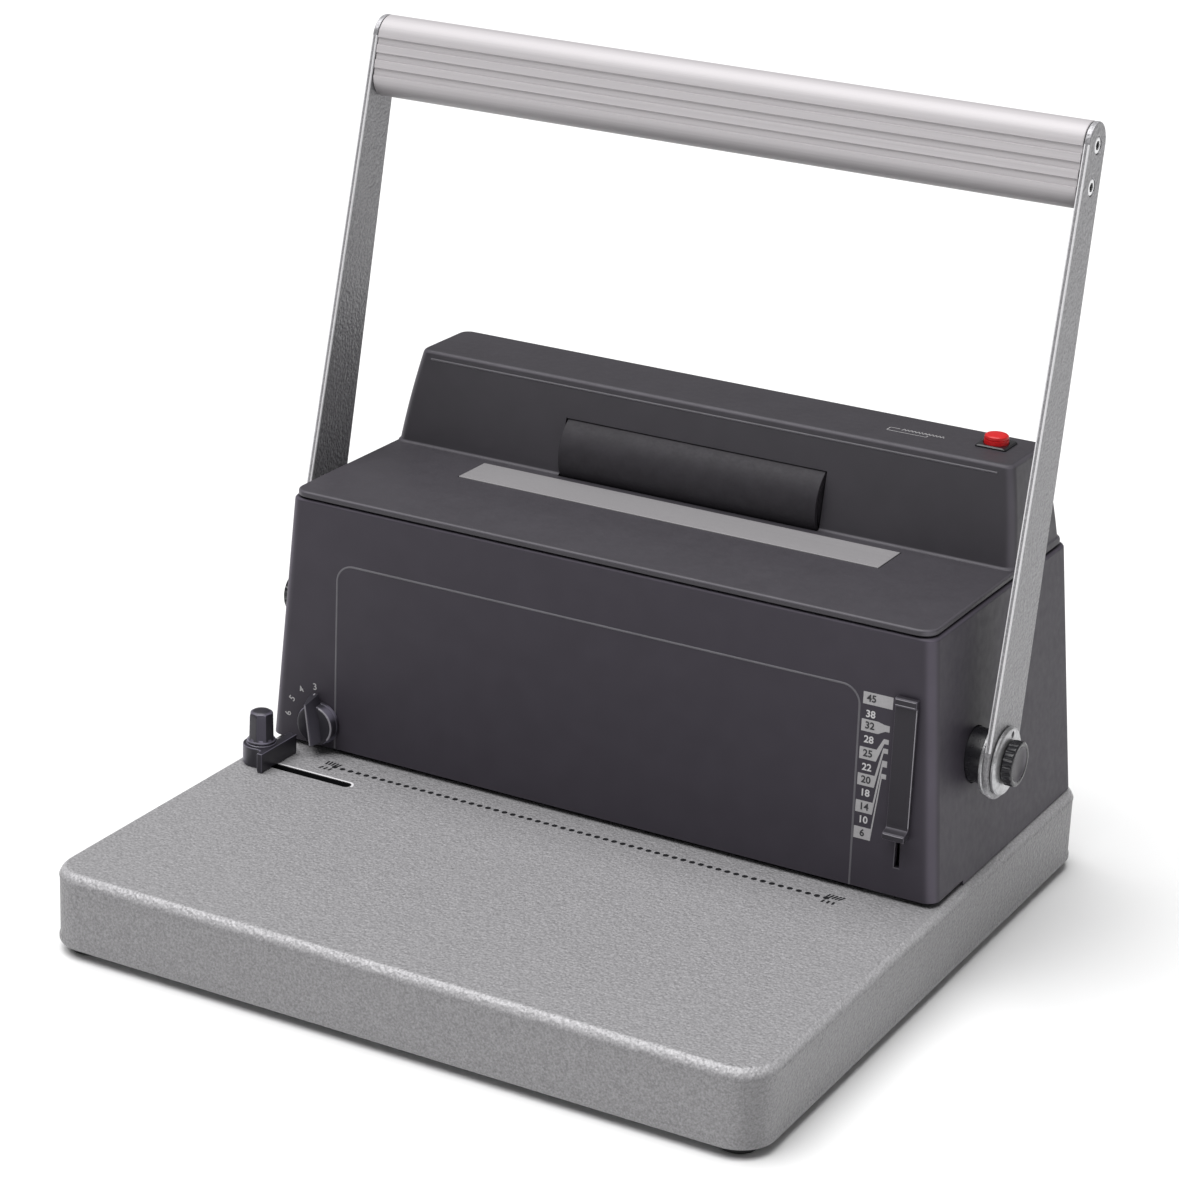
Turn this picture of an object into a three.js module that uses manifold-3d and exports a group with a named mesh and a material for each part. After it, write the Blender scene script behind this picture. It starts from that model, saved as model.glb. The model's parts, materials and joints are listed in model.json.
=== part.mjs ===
// Coil binding machine: handle-driven hole punch with a powered coil roller.
// Millimetres, +X right, +Y back, +Z up. Origin: on the ground, under the middle of the bounding box.
import * as THREE from 'three';
import { mergeVertices } from 'three/addons/utils/BufferGeometryUtils.js';
import Module from 'manifold-3d';

const wasm = await Module();
wasm.setup();

// ---------- driving dimensions ----------
const GAP = 0.3; // clearance between touching pieces
const WALL = 3; // wall of the moulded and cast shells
const RAD = Math.PI / 180;

const FOOT = { height: 5, radius: 10.4, inset: 17.3 };
const BASE = { centreX: 2, width: 404.7, depth: 402.3, height: 41.3, corner: 20, edge: 3 };
const TABLE = FOOT.height + BASE.height; // height of the paper table
const THROAT = 2.8; // paper throat height

const HOUSING = {
  bottom: TABLE + THROAT,
  top: 189.3,
  halfWidth: 199.7,
  front: 3.5,
  rear: 192.5,
  corner: 7,
  sideDraft: 0.0802, // inward lean per unit of height
  frontDraft: 0.0036,
  rearDraft: 0.0799,
  edge: 2,
  throatDepth: 40.4,
};
const LID = { bottom: 190.5, top: 193.6, halfWidth: 187, front: 4, rear: 180, corner: 9, edge: 1.6 };
const LIP = { bottom: 184, halfWidth: 185, front: 7.4, rear: 177.9, corner: 5, wall: 2 };
const TOWER = {
  top: 246.15,
  wall: 2.5,
  corner: 6,
  edge: 2,
  foot: { halfWidth: 186.2, front: 108.35, rear: 175.4 },
  head: { halfWidth: 177.3, front: 117.85, rear: 165.8 },
  bulge: 0.8,
};
const STRIP = { centreX: 1, halfLength: 125.5, front: 73.3, rear: 100.8, recess: 0.8, proud: 0.4 };
const BUTTON = { x: 156.5, y: 147, radius: 6.6, top: 252.2, travel: 3, bezel: 17.5, bezelHeight: 1.3 };

const ROLLER = { y: 126.5, z: 205.2, radius: 22.5, left: -80.5, right: 75.3, axle: 4 };
const BELT = { x: 90, width: 8, thickness: 1.5, clearance: 0.4, big: 9, small: 6 };
const MOTOR = { y: 130, z: 150, radius: 18, length: 50, shaft: 2.5 };

const HOLES = { count: 59, pitch: 5.08, y: 17, radius: 2.35 };
const PIN = { radius: 2, tip: 52 };
const DIE = { halfLength: 158, front: 8, rear: 26, thickness: 8 };
const GUIDE = { top: 57.1, rear: 24, halfLength: 175.6 };
const PUNCH = { halfLength: 150, front: 12, rear: 22, bottom: 69, top: 84, travel: 11, tailX: 120, tailRear: 74 };
const SPRING = { y: 66, radius: 5.4, wire: 0.8, turns: 5 };
const DEPTH_STOP = { front: 20, barFront: 33.5, tabFront: 35, rear: 40, blade: 2, halfLength: 150, barTop: 58 };
const STOP_TAB = { left: -174, right: -160, top: 69, noseDrop: 6, noseHalf: 0.6, noseGap: 0.6 };
const FRAME = { x: 176, thickness: 4, front: 10, rear: 92, top: 150 };

const PIVOT = { y: 56.05, z: 112.5 };
const SHAFT = { radius: 10, stud: 6, shoulder: 202.9, end: 215.5 };
const CAM = { thickness: 8, start: 27, rise: 11, sweep: 80, overrun: 18, hub: 16 };
const COLLAR = { radius: 14.4, inner: 174, outer: 202.5 };
const HUB = { flangeRadius: 19.2, bossRadius: 18, flangeIn: 203.2, bossIn: 210, bossOut: 212.7 };
const CLAMP = { radius: 11.2, inner: 213, outer: 219, dish: 8.6, dishDepth: 1.8 };
const ARM = { outer: 209.5, thickness: 3, foot: 40.5, head: 23.7, length: 323.8, lean: 11.85, splay: 2.9 / 320 };
const GRIP = { halfLength: 203.2, width: 23.6, low: 279.8, high: 323.8, grooveDepth: 0.6 };
const GROOVES = [[290.4, 294.8], [298.8, 303], [307, 311.2]];
const GRIP_SCREW = { heights: [291.2, 311.9], offset: 0.8, head: 4.3, headLength: 1.9, shank: 2.4, length: 24 };

const MARGIN = { x: -166.8, z: 63, skirt: 13.4, disc: 12.3, face: -4.6, crest: -9.4, turn: 9, shaft: 3 };
const MARGIN_CAM = { radius: 8.4, bore: 4, front: 27, face: 31, rise: 3, sweep: 81, start: -15, end: 90 };
const STOP = { x: -184.8, y: -27.5, height: 8.4, slotWidth: 3, slotEnd: -127.9, stem: 2.2 };
const STOP_KNOB = { foot: 6.3, head: 5.8, top: 79.5, collar: 7.3 };
const GAUGE = { left: 171.5, right: 183.5, foot: 82, lip: 86, ledge: 153.6, top: 157.5, face: 1, reach: 5 };
const GAUGE_SLOT = { x: 177.6, width: 2.8, bottom: 64.8, top: 108 };

const DRAWER = { left: -200.2, right: 150, front: -20.5, rear: 50.5, bottom: 9, top: 34.5, wall: 2 };
const REAR_COVER = { halfWidth: 150, bottom: 62, top: 178, vents: 12 };
const INLET = { x: 110, z: 80, halfWidth: 14, halfHeight: 9.5, rear: 191.5, depth: 25, cavity: 20, pins: 13 };

const COLOUR = {
  silverCoat: [0xa9abad, 0.45, 0.55],
  castSilver: [0xb4b6b8, 0.4, 0.7],
  darkPlastic: [0x3f3e43, 0.45, 0],
  lidPlastic: [0x4a494e, 0.5, 0],
  black: [0x1b1b1e, 0.4, 0],
  steel: [0x8d9093, 0.35, 1],
  aluminium: [0xc9c8ca, 0.35, 0.9],
  rubber: [0x2a2a2c, 0.9, 0],
  red: [0xd01c22, 0.3, 0],
  brown: [0x3b3334, 0.4, 0],
  board: [0x23503a, 0.6, 0],
  brass: [0xb69a4e, 0.35, 1],
};

// ---------- geometry helpers ----------
const toSolid = (geometry) => {
  const bare = geometry.clone();
  bare.deleteAttribute('normal');
  bare.deleteAttribute('uv');
  const merged = mergeVertices(bare, 1e-4);
  return new wasm.Manifold(new wasm.Mesh({
    numProp: 3,
    vertProperties: new Float32Array(merged.attributes.position.array),
    triVerts: new Uint32Array(merged.index.array),
  }));
};

const toGeometry = (solid) => {
  const { vertProperties, triVerts } = solid.getMesh();
  const geometry = new THREE.BufferGeometry();
  geometry.setAttribute('position', new THREE.BufferAttribute(vertProperties, 3));
  geometry.setIndex(new THREE.BufferAttribute(triVerts, 1));
  geometry.computeVertexNormals();
  return geometry;
};

const cut = (from, ...tools) => tools.reduce((left, tool) => left.subtract(tool), from);
const join = (first, ...others) => others.reduce((left, other) => left.add(other), first);

const boxBetween = (x0, x1, y0, y1, z0, z1) => toSolid(
  new THREE.BoxGeometry(x1 - x0, y1 - y0, z1 - z0).translate((x0 + x1) / 2, (y0 + y1) / 2, (z0 + z1) / 2),
);

const rodX = (radius, x0, x1, y, z, sides = 24) => toSolid(
  new THREE.CylinderGeometry(radius, radius, x1 - x0, sides).rotateZ(-90 * RAD).translate((x0 + x1) / 2, y, z),
);

const rodY = (radius, y0, y1, x, z, sides = 24) => toSolid(
  new THREE.CylinderGeometry(radius, radius, y1 - y0, sides).translate(x, (y0 + y1) / 2, z),
);

const rodZ = (radius, z0, z1, x, y, sides = 24) => toSolid(
  new THREE.CylinderGeometry(radius, radius, z1 - z0, sides).rotateX(90 * RAD).translate(x, y, (z0 + z1) / 2),
);

const roundedRect = (x0, y0, x1, y1, radius) => {
  const shape = new THREE.Shape();
  shape.moveTo(x0 + radius, y0);
  shape.lineTo(x1 - radius, y0);
  shape.absarc(x1 - radius, y0 + radius, radius, -90 * RAD, 0);
  shape.lineTo(x1, y1 - radius);
  shape.absarc(x1 - radius, y1 - radius, radius, 0, 90 * RAD);
  shape.lineTo(x0 + radius, y1);
  shape.absarc(x0 + radius, y1 - radius, radius, 90 * RAD, 180 * RAD);
  shape.lineTo(x0, y0 + radius);
  shape.absarc(x0 + radius, y0 + radius, radius, 180 * RAD, 270 * RAD);
  return shape;
};

const polygon = (points) => new THREE.Shape(points.map(([x, y]) => new THREE.Vector2(x, y)));

const slab = (shape, z0, z1, curveSegments = 4) => toSolid(
  new THREE.ExtrudeGeometry(shape, { depth: z1 - z0, bevelEnabled: false, curveSegments }).translate(0, 0, z0),
);

// A stack of rounded rectangles of one corner radius, each { z, halfWidth, front, rear }.
const loft = (sections, corner, curveSegments = 3) => {
  const last = sections.length - 1;
  const [foot] = sections;
  const middle = (foot.front + foot.rear) / 2;
  const outline = roundedRect(-foot.halfWidth, foot.front, foot.halfWidth, foot.rear, corner);
  const stack = new THREE.ExtrudeGeometry(
    outline,
    { depth: last, steps: last, bevelEnabled: false, curveSegments },
  );
  const { position } = stack.attributes;
  for (let i = 0; i < position.count; i += 1) {
    const section = sections[Math.round(position.getZ(i))];
    const x = position.getX(i);
    const y = position.getY(i);
    const shift = y < middle ? section.front - foot.front : section.rear - foot.rear;
    position.setXYZ(i, x + Math.sign(x) * (section.halfWidth - foot.halfWidth), y + shift, section.z);
  }
  return toSolid(stack);
};

// The three sections that round over an upper edge, after a section at the full size.
const roundOver = (sizeAt, top, edge) => [[1, 0], [0.3, 0.3], [0, 1]].map((step) => {
  const [drop, inset] = step.map((share) => share * edge);
  const full = sizeAt(top - drop);
  return {
    z: top - drop,
    halfWidth: full.halfWidth - inset,
    front: full.front + inset,
    rear: full.rear - inset,
  };
});

const latheX = (profile, sides = 32) => toSolid(
  new THREE.LatheGeometry(profile.map(([radius, x]) => new THREE.Vector2(radius, x)), sides).rotateZ(-90 * RAD),
);

const group = new THREE.Group();
const addMesh = (name, solid, [color, roughness, metalness]) => {
  const material = new THREE.MeshStandardMaterial({ color, roughness, metalness });
  const mesh = new THREE.Mesh(toGeometry(solid), material);
  mesh.name = name;
  group.add(mesh);
};

const SIDES = [['left', -1], ['right', 1]];
const mirrored = (solid, side) => (side < 0 ? solid.mirror([1, 0, 0]) : solid);
const holeX = (index) => (index - (HOLES.count - 1) / 2) * HOLES.pitch;

// ---------- base ----------
const baseOutline = (inset, corner) => roundedRect(
  BASE.centreX - BASE.width / 2 + inset,
  -BASE.depth / 2 + inset,
  BASE.centreX + BASE.width / 2 - inset,
  BASE.depth / 2 - inset,
  corner,
);

function baseTray() {
  const shell = toSolid(new THREE.ExtrudeGeometry(baseOutline(0, BASE.corner), {
    depth: BASE.height - 2 * BASE.edge,
    bevelThickness: BASE.edge,
    bevelSize: BASE.edge,
    bevelOffset: -BASE.edge,
    bevelSegments: 2,
    curveSegments: 5,
  }).translate(0, 0, FOOT.height + BASE.edge));
  const cavity = slab(baseOutline(WALL, BASE.corner - WALL), 0, TABLE - WALL, 5);
  const dieSlot = boxBetween(
    -DIE.halfLength - GAP,
    DIE.halfLength + GAP,
    DIE.front - GAP,
    DIE.rear + GAP,
    TABLE - 2 * WALL,
    TABLE + 1,
  );
  const stopSlot = boxBetween(
    STOP.x - STOP.slotWidth,
    STOP.slotEnd,
    STOP.y - STOP.slotWidth / 2,
    STOP.y + STOP.slotWidth / 2,
    TABLE - 2 * WALL,
    TABLE + 1,
  );
  const drawerMouth = boxBetween(
    DRAWER.left - 5,
    DRAWER.left + 2 * WALL,
    DRAWER.front - 0.5,
    DRAWER.rear + 0.5,
    DRAWER.bottom - 0.5,
    DRAWER.top + 0.5,
  );
  addMesh('base_tray', cut(shell, cavity, dieSlot, stopSlot, drawerMouth), COLOUR.silverCoat);
}

function bottomCoverAndFeet() {
  const sheetBottom = FOOT.height + 1;
  const sheet = slab(baseOutline(WALL + 0.4, BASE.corner - WALL), sheetBottom, sheetBottom + 1.5);
  addMesh('bottom_cover', sheet, COLOUR.steel);
  const footX = BASE.width / 2 - FOOT.inset;
  const footY = BASE.depth / 2 - FOOT.inset + 1;
  const chamfer = 1;
  for (const [depthName, depthSign] of [['front', -1], ['rear', 1]]) {
    for (const [sideName, side] of SIDES) {
      const profile = [
        [0, 0],
        [FOOT.radius - chamfer, 0],
        [FOOT.radius, chamfer],
        [FOOT.radius, sheetBottom - GAP],
        [0, sheetBottom - GAP],
      ].map(([radius, z]) => new THREE.Vector2(radius, z));
      const foot = new THREE.LatheGeometry(profile, 24).rotateX(90 * RAD);
      foot.translate(BASE.centreX + side * footX, depthSign * footY, 0);
      addMesh(`foot_${depthName}_${sideName}`, toSolid(foot), COLOUR.rubber);
    }
  }
}

function chipDrawer() {
  const { left, right, front, rear, bottom, top, wall } = DRAWER;
  const body = boxBetween(left, right, front, rear, bottom, top);
  const hollow = boxBetween(left + WALL, right - wall, front + wall, rear - wall, bottom + wall, top + 1);
  const middle = (front + rear) / 2;
  const fingerNotch = boxBetween(left - 1, left + WALL + 1, middle - 12, middle + 12, top - 7, top + 1);
  addMesh('chip_drawer', cut(body, hollow, fingerNotch), COLOUR.black);
}

// ---------- housing ----------
const housingSize = (z, inset = 0) => {
  const rise = z - HOUSING.bottom;
  return {
    z,
    halfWidth: HOUSING.halfWidth - HOUSING.sideDraft * rise - inset,
    front: HOUSING.front + HOUSING.frontDraft * rise + inset,
    rear: HOUSING.rear - HOUSING.rearDraft * rise - inset,
  };
};

function housingAndRearCover() {
  const sill = TABLE + GAP;
  const outer = loft(
    [housingSize(sill), ...roundOver(housingSize, HOUSING.top, HOUSING.edge)],
    HOUSING.corner,
  );
  const inner = loft(
    [housingSize(sill - 2, WALL), housingSize(HOUSING.top + 2, WALL)],
    HOUSING.corner - WALL,
  );
  const shell = outer.subtract(inner);
  const throat = boxBetween(-210, 210, 0, HOUSING.throatDepth, sill - 1, HOUSING.bottom);
  const shaftHoles = rodX(COLLAR.radius + 0.5, -210, 210, PIVOT.y, PIVOT.z, 32);
  const marginHole = rodY(MARGIN.shaft + 0.4, 0, 10, MARGIN.x, MARGIN.z, 16);
  const gaugeSlot = boxBetween(
    GAUGE_SLOT.x - GAUGE_SLOT.width / 2,
    GAUGE_SLOT.x + GAUGE_SLOT.width / 2,
    0,
    10,
    GAUGE_SLOT.bottom,
    GAUGE_SLOT.top,
  );
  const rearWindow = (margin) => boxBetween(
    -REAR_COVER.halfWidth - margin,
    REAR_COVER.halfWidth + margin,
    150,
    210,
    REAR_COVER.bottom - margin,
    REAR_COVER.top + margin,
  );
  const openings = [throat, shaftHoles, marginHole, gaugeSlot, rearWindow(0.4)];
  addMesh('housing_shell', cut(shell, ...openings), COLOUR.darkPlastic);

  const ventPitch = 9;
  const vents = Array.from({ length: REAR_COVER.vents }, (_, index) => {
    const x = -120 + index * ventPitch;
    return boxBetween(x - 1.5, x + 1.5, 150, 210, 120, 150);
  });
  const inletHole = boxBetween(
    INLET.x - INLET.halfWidth - 0.4,
    INLET.x + INLET.halfWidth + 0.4,
    150,
    210,
    INLET.z - INLET.halfHeight - 0.4,
    INLET.z + INLET.halfHeight + 0.4,
  );
  addMesh('rear_cover', cut(shell.intersect(rearWindow(0)), inletHole, ...vents), COLOUR.darkPlastic);
}

function powerInlet() {
  const { x, z, halfWidth, halfHeight, rear, depth, cavity, pins } = INLET;
  const body = boxBetween(x - halfWidth, x + halfWidth, rear - depth, rear, z - halfHeight, z + halfHeight);
  const rim = 2.4;
  const socket = boxBetween(
    x - halfWidth + rim,
    x + halfWidth - rim,
    rear - cavity,
    rear + 1,
    z - halfHeight + rim,
    z + halfHeight - rim,
  );
  const contacts = [[-7, -1.5], [0, 1.8], [7, -1.5]].map(([dx, dz]) => boxBetween(
    x + dx - 1,
    x + dx + 1,
    rear - cavity - 1,
    rear - cavity + pins,
    z + dz - 2,
    z + dz + 2,
  ));
  addMesh('power_inlet', join(body.subtract(socket), ...contacts), COLOUR.black);
}

// ---------- top cover ----------
const towerSize = (z, inset = 0) => {
  const { foot, head } = TOWER;
  const t = (z - LID.top) / (TOWER.top - LID.top);
  const mix = (a, b) => a + (b - a) * t;
  const bulge = TOWER.bulge * 4 * Math.max(0, t) * (1 - t);
  return {
    z,
    halfWidth: mix(foot.halfWidth, head.halfWidth) + bulge - inset,
    front: mix(foot.front, head.front) + inset,
    rear: mix(foot.rear, head.rear) - inset,
  };
};

const lidSize = (z) => ({ z, halfWidth: LID.halfWidth, front: LID.front, rear: LID.rear });

function topCover() {
  const lid = loft([lidSize(LID.bottom), ...roundOver(lidSize, LID.top, LID.edge)], LID.corner);
  const towerSections = [LID.bottom + 0.4, 208, 226].map((z) => towerSize(z));
  const tower = loft([...towerSections, ...roundOver(towerSize, TOWER.top, TOWER.edge)], TOWER.corner);
  const lipAt = (z, inset) => ({
    z,
    halfWidth: LIP.halfWidth - inset,
    front: LIP.front + inset,
    rear: LIP.rear - inset,
  });
  const lip = cut(
    loft([lipAt(LIP.bottom, 0), lipAt(LID.bottom + 0.3, 0)], LIP.corner),
    loft([lipAt(LIP.bottom - 1, LIP.wall), lipAt(LID.bottom, LIP.wall)], LIP.corner - LIP.wall),
  );
  const ceiling = TOWER.top - TOWER.wall;
  const cavity = loft(
    [
      { ...towerSize(LIP.bottom - 1, TOWER.wall), halfWidth: 182.4, front: 111.2, rear: 172.4 },
      towerSize(208, TOWER.wall),
      towerSize(226, TOWER.wall),
      towerSize(ceiling, TOWER.wall),
    ],
    TOWER.corner - TOWER.wall,
  );
  const rollerWindow = rodX(ROLLER.radius + 0.8, ROLLER.left - 0.8, ROLLER.right + 0.8, ROLLER.y, ROLLER.z, 40);
  const stripPocket = boxBetween(
    STRIP.centreX - STRIP.halfLength - 0.4,
    STRIP.centreX + STRIP.halfLength + 0.4,
    STRIP.front - 0.4,
    STRIP.rear + 0.4,
    LID.top - STRIP.recess,
    LID.top + 1,
  );
  const buttonHole = rodZ(BUTTON.radius + 0.6, ceiling - 2, TOWER.top + 1, BUTTON.x, BUTTON.y, 32);
  const cover = cut(join(lid, lip, tower), cavity, rollerWindow, stripPocket, buttonHole);
  addMesh('top_cover', cover, COLOUR.lidPlastic);

  const strip = boxBetween(
    STRIP.centreX - STRIP.halfLength,
    STRIP.centreX + STRIP.halfLength,
    STRIP.front,
    STRIP.rear,
    LID.top - STRIP.recess + GAP,
    LID.top + STRIP.proud,
  );
  addMesh('coil_channel_strip', strip, COLOUR.aluminium);
}

function pushButton() {
  const { x, y, radius, top, travel, bezel, bezelHeight } = BUTTON;
  const bezelBottom = TOWER.top + 0.05;
  const frame = boxBetween(
    x - bezel / 2,
    x + bezel / 2,
    y - bezel / 2,
    y + bezel / 2,
    bezelBottom + GAP,
    bezelBottom + bezelHeight,
  );
  addMesh('button_bezel', frame.subtract(rodZ(radius + 0.4, bezelBottom - 1, top, x, y, 32)), COLOUR.black);
  const capBottom = TOWER.top - 0.2;
  const stemEnd = TOWER.top - 3.6;
  const cap = join(rodZ(radius, capBottom, top, x, y, 32), rodZ(2, stemEnd, capBottom + 1, x, y, 12));
  addMesh('push_button', cap, COLOUR.red);
  const switchTop = stemEnd - travel - GAP;
  addMesh('button_switch', boxBetween(x - 6, x + 6, y - 5, y + 5, switchTop - 12, switchTop), COLOUR.black);
}

// ---------- coil roller and its drive ----------
function rollerDrive() {
  const { y, z, radius, left, right, axle } = ROLLER;
  const tube = rodX(radius, left, right, y, z, 40).subtract(rodX(axle + GAP, left - 1, right + 1, y, z, 16));
  addMesh('coil_roller', tube, COLOUR.rubber);
  addMesh('roller_axle', rodX(axle, left - 8.5, BELT.x + 6, y, z, 16), COLOUR.steel);
  const bracketWall = 4;
  const brackets = [['left', left - 3 - bracketWall], ['right', right + 3]];
  for (const [name, x] of brackets) {
    const plate = boxBetween(x, x + bracketWall, y - 8, y + 26, LIP.bottom + 1, z + 20);
    addMesh(`roller_bracket_${name}`, plate.subtract(rodX(axle + 0.4, x - 1, x + 6, y, z, 16)), COLOUR.steel);
  }

  const pulley = (pitchRadius, bore, cy, cz) => {
    const halfWidth = BELT.width / 2;
    const rim = 1;
    return cut(
      join(
        rodX(pitchRadius, BELT.x - halfWidth, BELT.x + halfWidth, cy, cz, 32),
        rodX(pitchRadius + 2.6, BELT.x - halfWidth - rim, BELT.x - halfWidth + 0.1, cy, cz, 32),
      ),
      rodX(bore + GAP, BELT.x - 10, BELT.x + 10, cy, cz, 16),
    );
  };
  addMesh('roller_pulley', pulley(BELT.big, axle, y, z), COLOUR.black);
  addMesh('motor_pulley', pulley(BELT.small, MOTOR.shaft, MOTOR.y, MOTOR.z), COLOUR.brass);

  const beltLoop = (offset) => {
    const shape = new THREE.Shape();
    const lowRadius = BELT.small + offset;
    const highRadius = BELT.big + offset;
    const distance = Math.hypot(ROLLER.y - MOTOR.y, ROLLER.z - MOTOR.z);
    const axis = Math.atan2(ROLLER.z - MOTOR.z, ROLLER.y - MOTOR.y);
    const tilt = Math.acos((lowRadius - highRadius) / distance);
    shape.absarc(ROLLER.y, ROLLER.z, highRadius, axis - tilt, axis + tilt);
    shape.absarc(MOTOR.y, MOTOR.z, lowRadius, axis + tilt, axis - tilt + 2 * Math.PI);
    return shape;
  };
  const loop = beltLoop(BELT.clearance + BELT.thickness);
  loop.holes.push(beltLoop(BELT.clearance));
  const depth = BELT.width - 1;
  const band = new THREE.ExtrudeGeometry(loop, { depth, bevelEnabled: false, curveSegments: 7 });
  // The outline lies in the Y-Z plane, so its two axes are turned from X-Y to Y-Z.
  band.applyMatrix4(new THREE.Matrix4().makeBasis(
    new THREE.Vector3(0, 1, 0),
    new THREE.Vector3(0, 0, 1),
    new THREE.Vector3(1, 0, 0),
  ));
  band.translate(BELT.x - depth / 2, 0, 0);
  addMesh('drive_belt', toSolid(band), COLOUR.rubber);

  const bracketX = BELT.x + 7;
  const motorLeft = bracketX + 3 + GAP;
  const body = join(
    rodX(MOTOR.radius, motorLeft, motorLeft + MOTOR.length, MOTOR.y, MOTOR.z, 32),
    rodX(7, motorLeft + MOTOR.length - 1, motorLeft + MOTOR.length + 5, MOTOR.y, MOTOR.z, 16),
  );
  addMesh('drive_motor', body, COLOUR.steel);
  const shaft = rodX(MOTOR.shaft, BELT.x - 5.5, motorLeft - GAP, MOTOR.y, MOTOR.z, 16);
  addMesh('motor_shaft', shaft, COLOUR.steel);
  const plate = boxBetween(bracketX, bracketX + 3, 108, 178.4, 124, 179);
  const shaftHole = rodX(5, bracketX - 1, bracketX + 4, MOTOR.y, MOTOR.z, 16);
  addMesh('motor_bracket', plate.subtract(shaftHole), COLOUR.steel);
}

function controlBoard() {
  const board = boxBetween(-120, -20, 150, 151.6, 80, 150);
  const parts = [
    boxBetween(-112, -80, 151, 172, 90, 122),
    boxBetween(-70, -58, 151, 165, 92, 118),
    boxBetween(-50, -28, 151, 159, 126, 142),
  ];
  addMesh('control_board', join(board, ...parts), COLOUR.board);
}

// ---------- punch ----------
const pinHoles = (z0, z1, radius) => Array.from(
  { length: HOLES.count },
  (_, index) => rodZ(radius, z0, z1, holeX(index), HOLES.y, 6),
);

function dieAndGuide() {
  const die = boxBetween(-DIE.halfLength, DIE.halfLength, DIE.front, DIE.rear, TABLE - DIE.thickness, TABLE);
  const dieHoles = pinHoles(TABLE - DIE.thickness - 1, TABLE + 1, HOLES.radius);
  addMesh('die_plate', cut(die, ...dieHoles), COLOUR.steel);

  const { halfLength, rear, top } = GUIDE;
  const plate = boxBetween(-halfLength, halfLength, DIE.front, rear, TABLE + THROAT, top);
  const spacers = SIDES.map(([, side]) => mirrored(
    boxBetween(162, halfLength, DIE.front, rear, TABLE + GAP, top),
    side,
  ));
  const pinSlot = boxBetween(
    -PUNCH.halfLength,
    PUNCH.halfLength,
    HOLES.y - HOLES.radius,
    HOLES.y + HOLES.radius,
    TABLE + THROAT - 1,
    top + 1,
  );
  addMesh('paper_guide', join(plate, ...spacers).subtract(pinSlot), COLOUR.steel);
}

function punchCarriage() {
  const { halfLength, front, rear, bottom, top, tailX, tailRear } = PUNCH;
  const bar = boxBetween(-halfLength, halfLength, front, rear, bottom, top);
  const tails = SIDES.map(([, side]) => boxBetween(
    side * tailX - 8,
    side * tailX + 8,
    rear - 1,
    tailRear,
    bottom + 3,
    top,
  ));
  const pins = pinHoles(PIN.tip, bottom + 1, PIN.radius);
  addMesh('punch_carriage', join(bar, ...tails, ...pins), COLOUR.steel);

  const springTop = bottom + 3 - GAP - SPRING.wire;
  const springBottom = TABLE + GAP + SPRING.wire;
  for (const [name, side] of SIDES) {
    const helix = new (class extends THREE.Curve {
      getPoint(t) {
        const angle = 2 * Math.PI * SPRING.turns * t;
        return new THREE.Vector3(
          side * tailX + SPRING.radius * Math.cos(angle),
          SPRING.y + SPRING.radius * Math.sin(angle),
          springBottom + (springTop - springBottom) * t,
        );
      }
    })();
    const wire = new THREE.Shape();
    wire.absarc(0, 0, SPRING.wire, 0, 2 * Math.PI);
    const coil = new THREE.ExtrudeGeometry(wire, {
      steps: SPRING.turns * 8,
      curveSegments: 3,
      bevelEnabled: false,
      extrudePath: helix,
    });
    addMesh(`return_spring_${name}`, toSolid(coil), COLOUR.steel);
  }
}

function depthStop() {
  const { front, barFront, tabFront, rear, blade, halfLength, barTop } = DEPTH_STOP;
  const { left, right, top, noseDrop, noseHalf, noseGap } = STOP_TAB;
  const bottom = TABLE + 0.4;
  const noseZ = MARGIN.z - noseDrop;
  const nose = boxBetween(
    MARGIN.x - noseHalf,
    MARGIN.x + noseHalf,
    MARGIN_CAM.face + noseGap,
    tabFront + 1,
    noseZ - 1.5,
    noseZ + 1.5,
  );
  const stop = join(
    boxBetween(-halfLength, halfLength, front, rear, bottom, bottom + blade),
    boxBetween(left, halfLength, barFront, rear, bottom, barTop),
    boxBetween(left, right, tabFront, rear, bottom, top),
    nose,
  );
  addMesh('depth_stop', stop, COLOUR.steel);
}

function sideFrames() {
  const { x, thickness, front, rear, top } = FRAME;
  for (const [name, side] of SIDES) {
    const plate = boxBetween(x, x + thickness, front, rear, TABLE + GAP, top);
    const bore = rodX(COLLAR.radius + 0.4, x - 1, x + thickness + 1, PIVOT.y, PIVOT.z, 32);
    addMesh(`side_frame_${name}`, mirrored(plate.subtract(bore), side), COLOUR.steel);
  }
  addMesh('tie_bar', boxBetween(-x + GAP, x - GAP, rear - 8, rear - 2, 100, 124), COLOUR.steel);
}

// ---------- handle ----------
const armLean = ARM.lean * RAD;

// Turns a solid drawn in the arm's own axes (across, along, outward) into place at the pivot.
const onArm = (solid) => {
  const across = new THREE.Vector3(0, Math.cos(armLean), -Math.sin(armLean));
  const along = new THREE.Vector3(0, Math.sin(armLean), Math.cos(armLean));
  const basis = new THREE.Matrix4().makeBasis(across, along, new THREE.Vector3(1, 0, 0));
  return toSolid(toGeometry(solid).applyMatrix4(basis).translate(0, PIVOT.y, PIVOT.z));
};

const armOuterAt = (height) => ARM.outer - ARM.splay * height;

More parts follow.
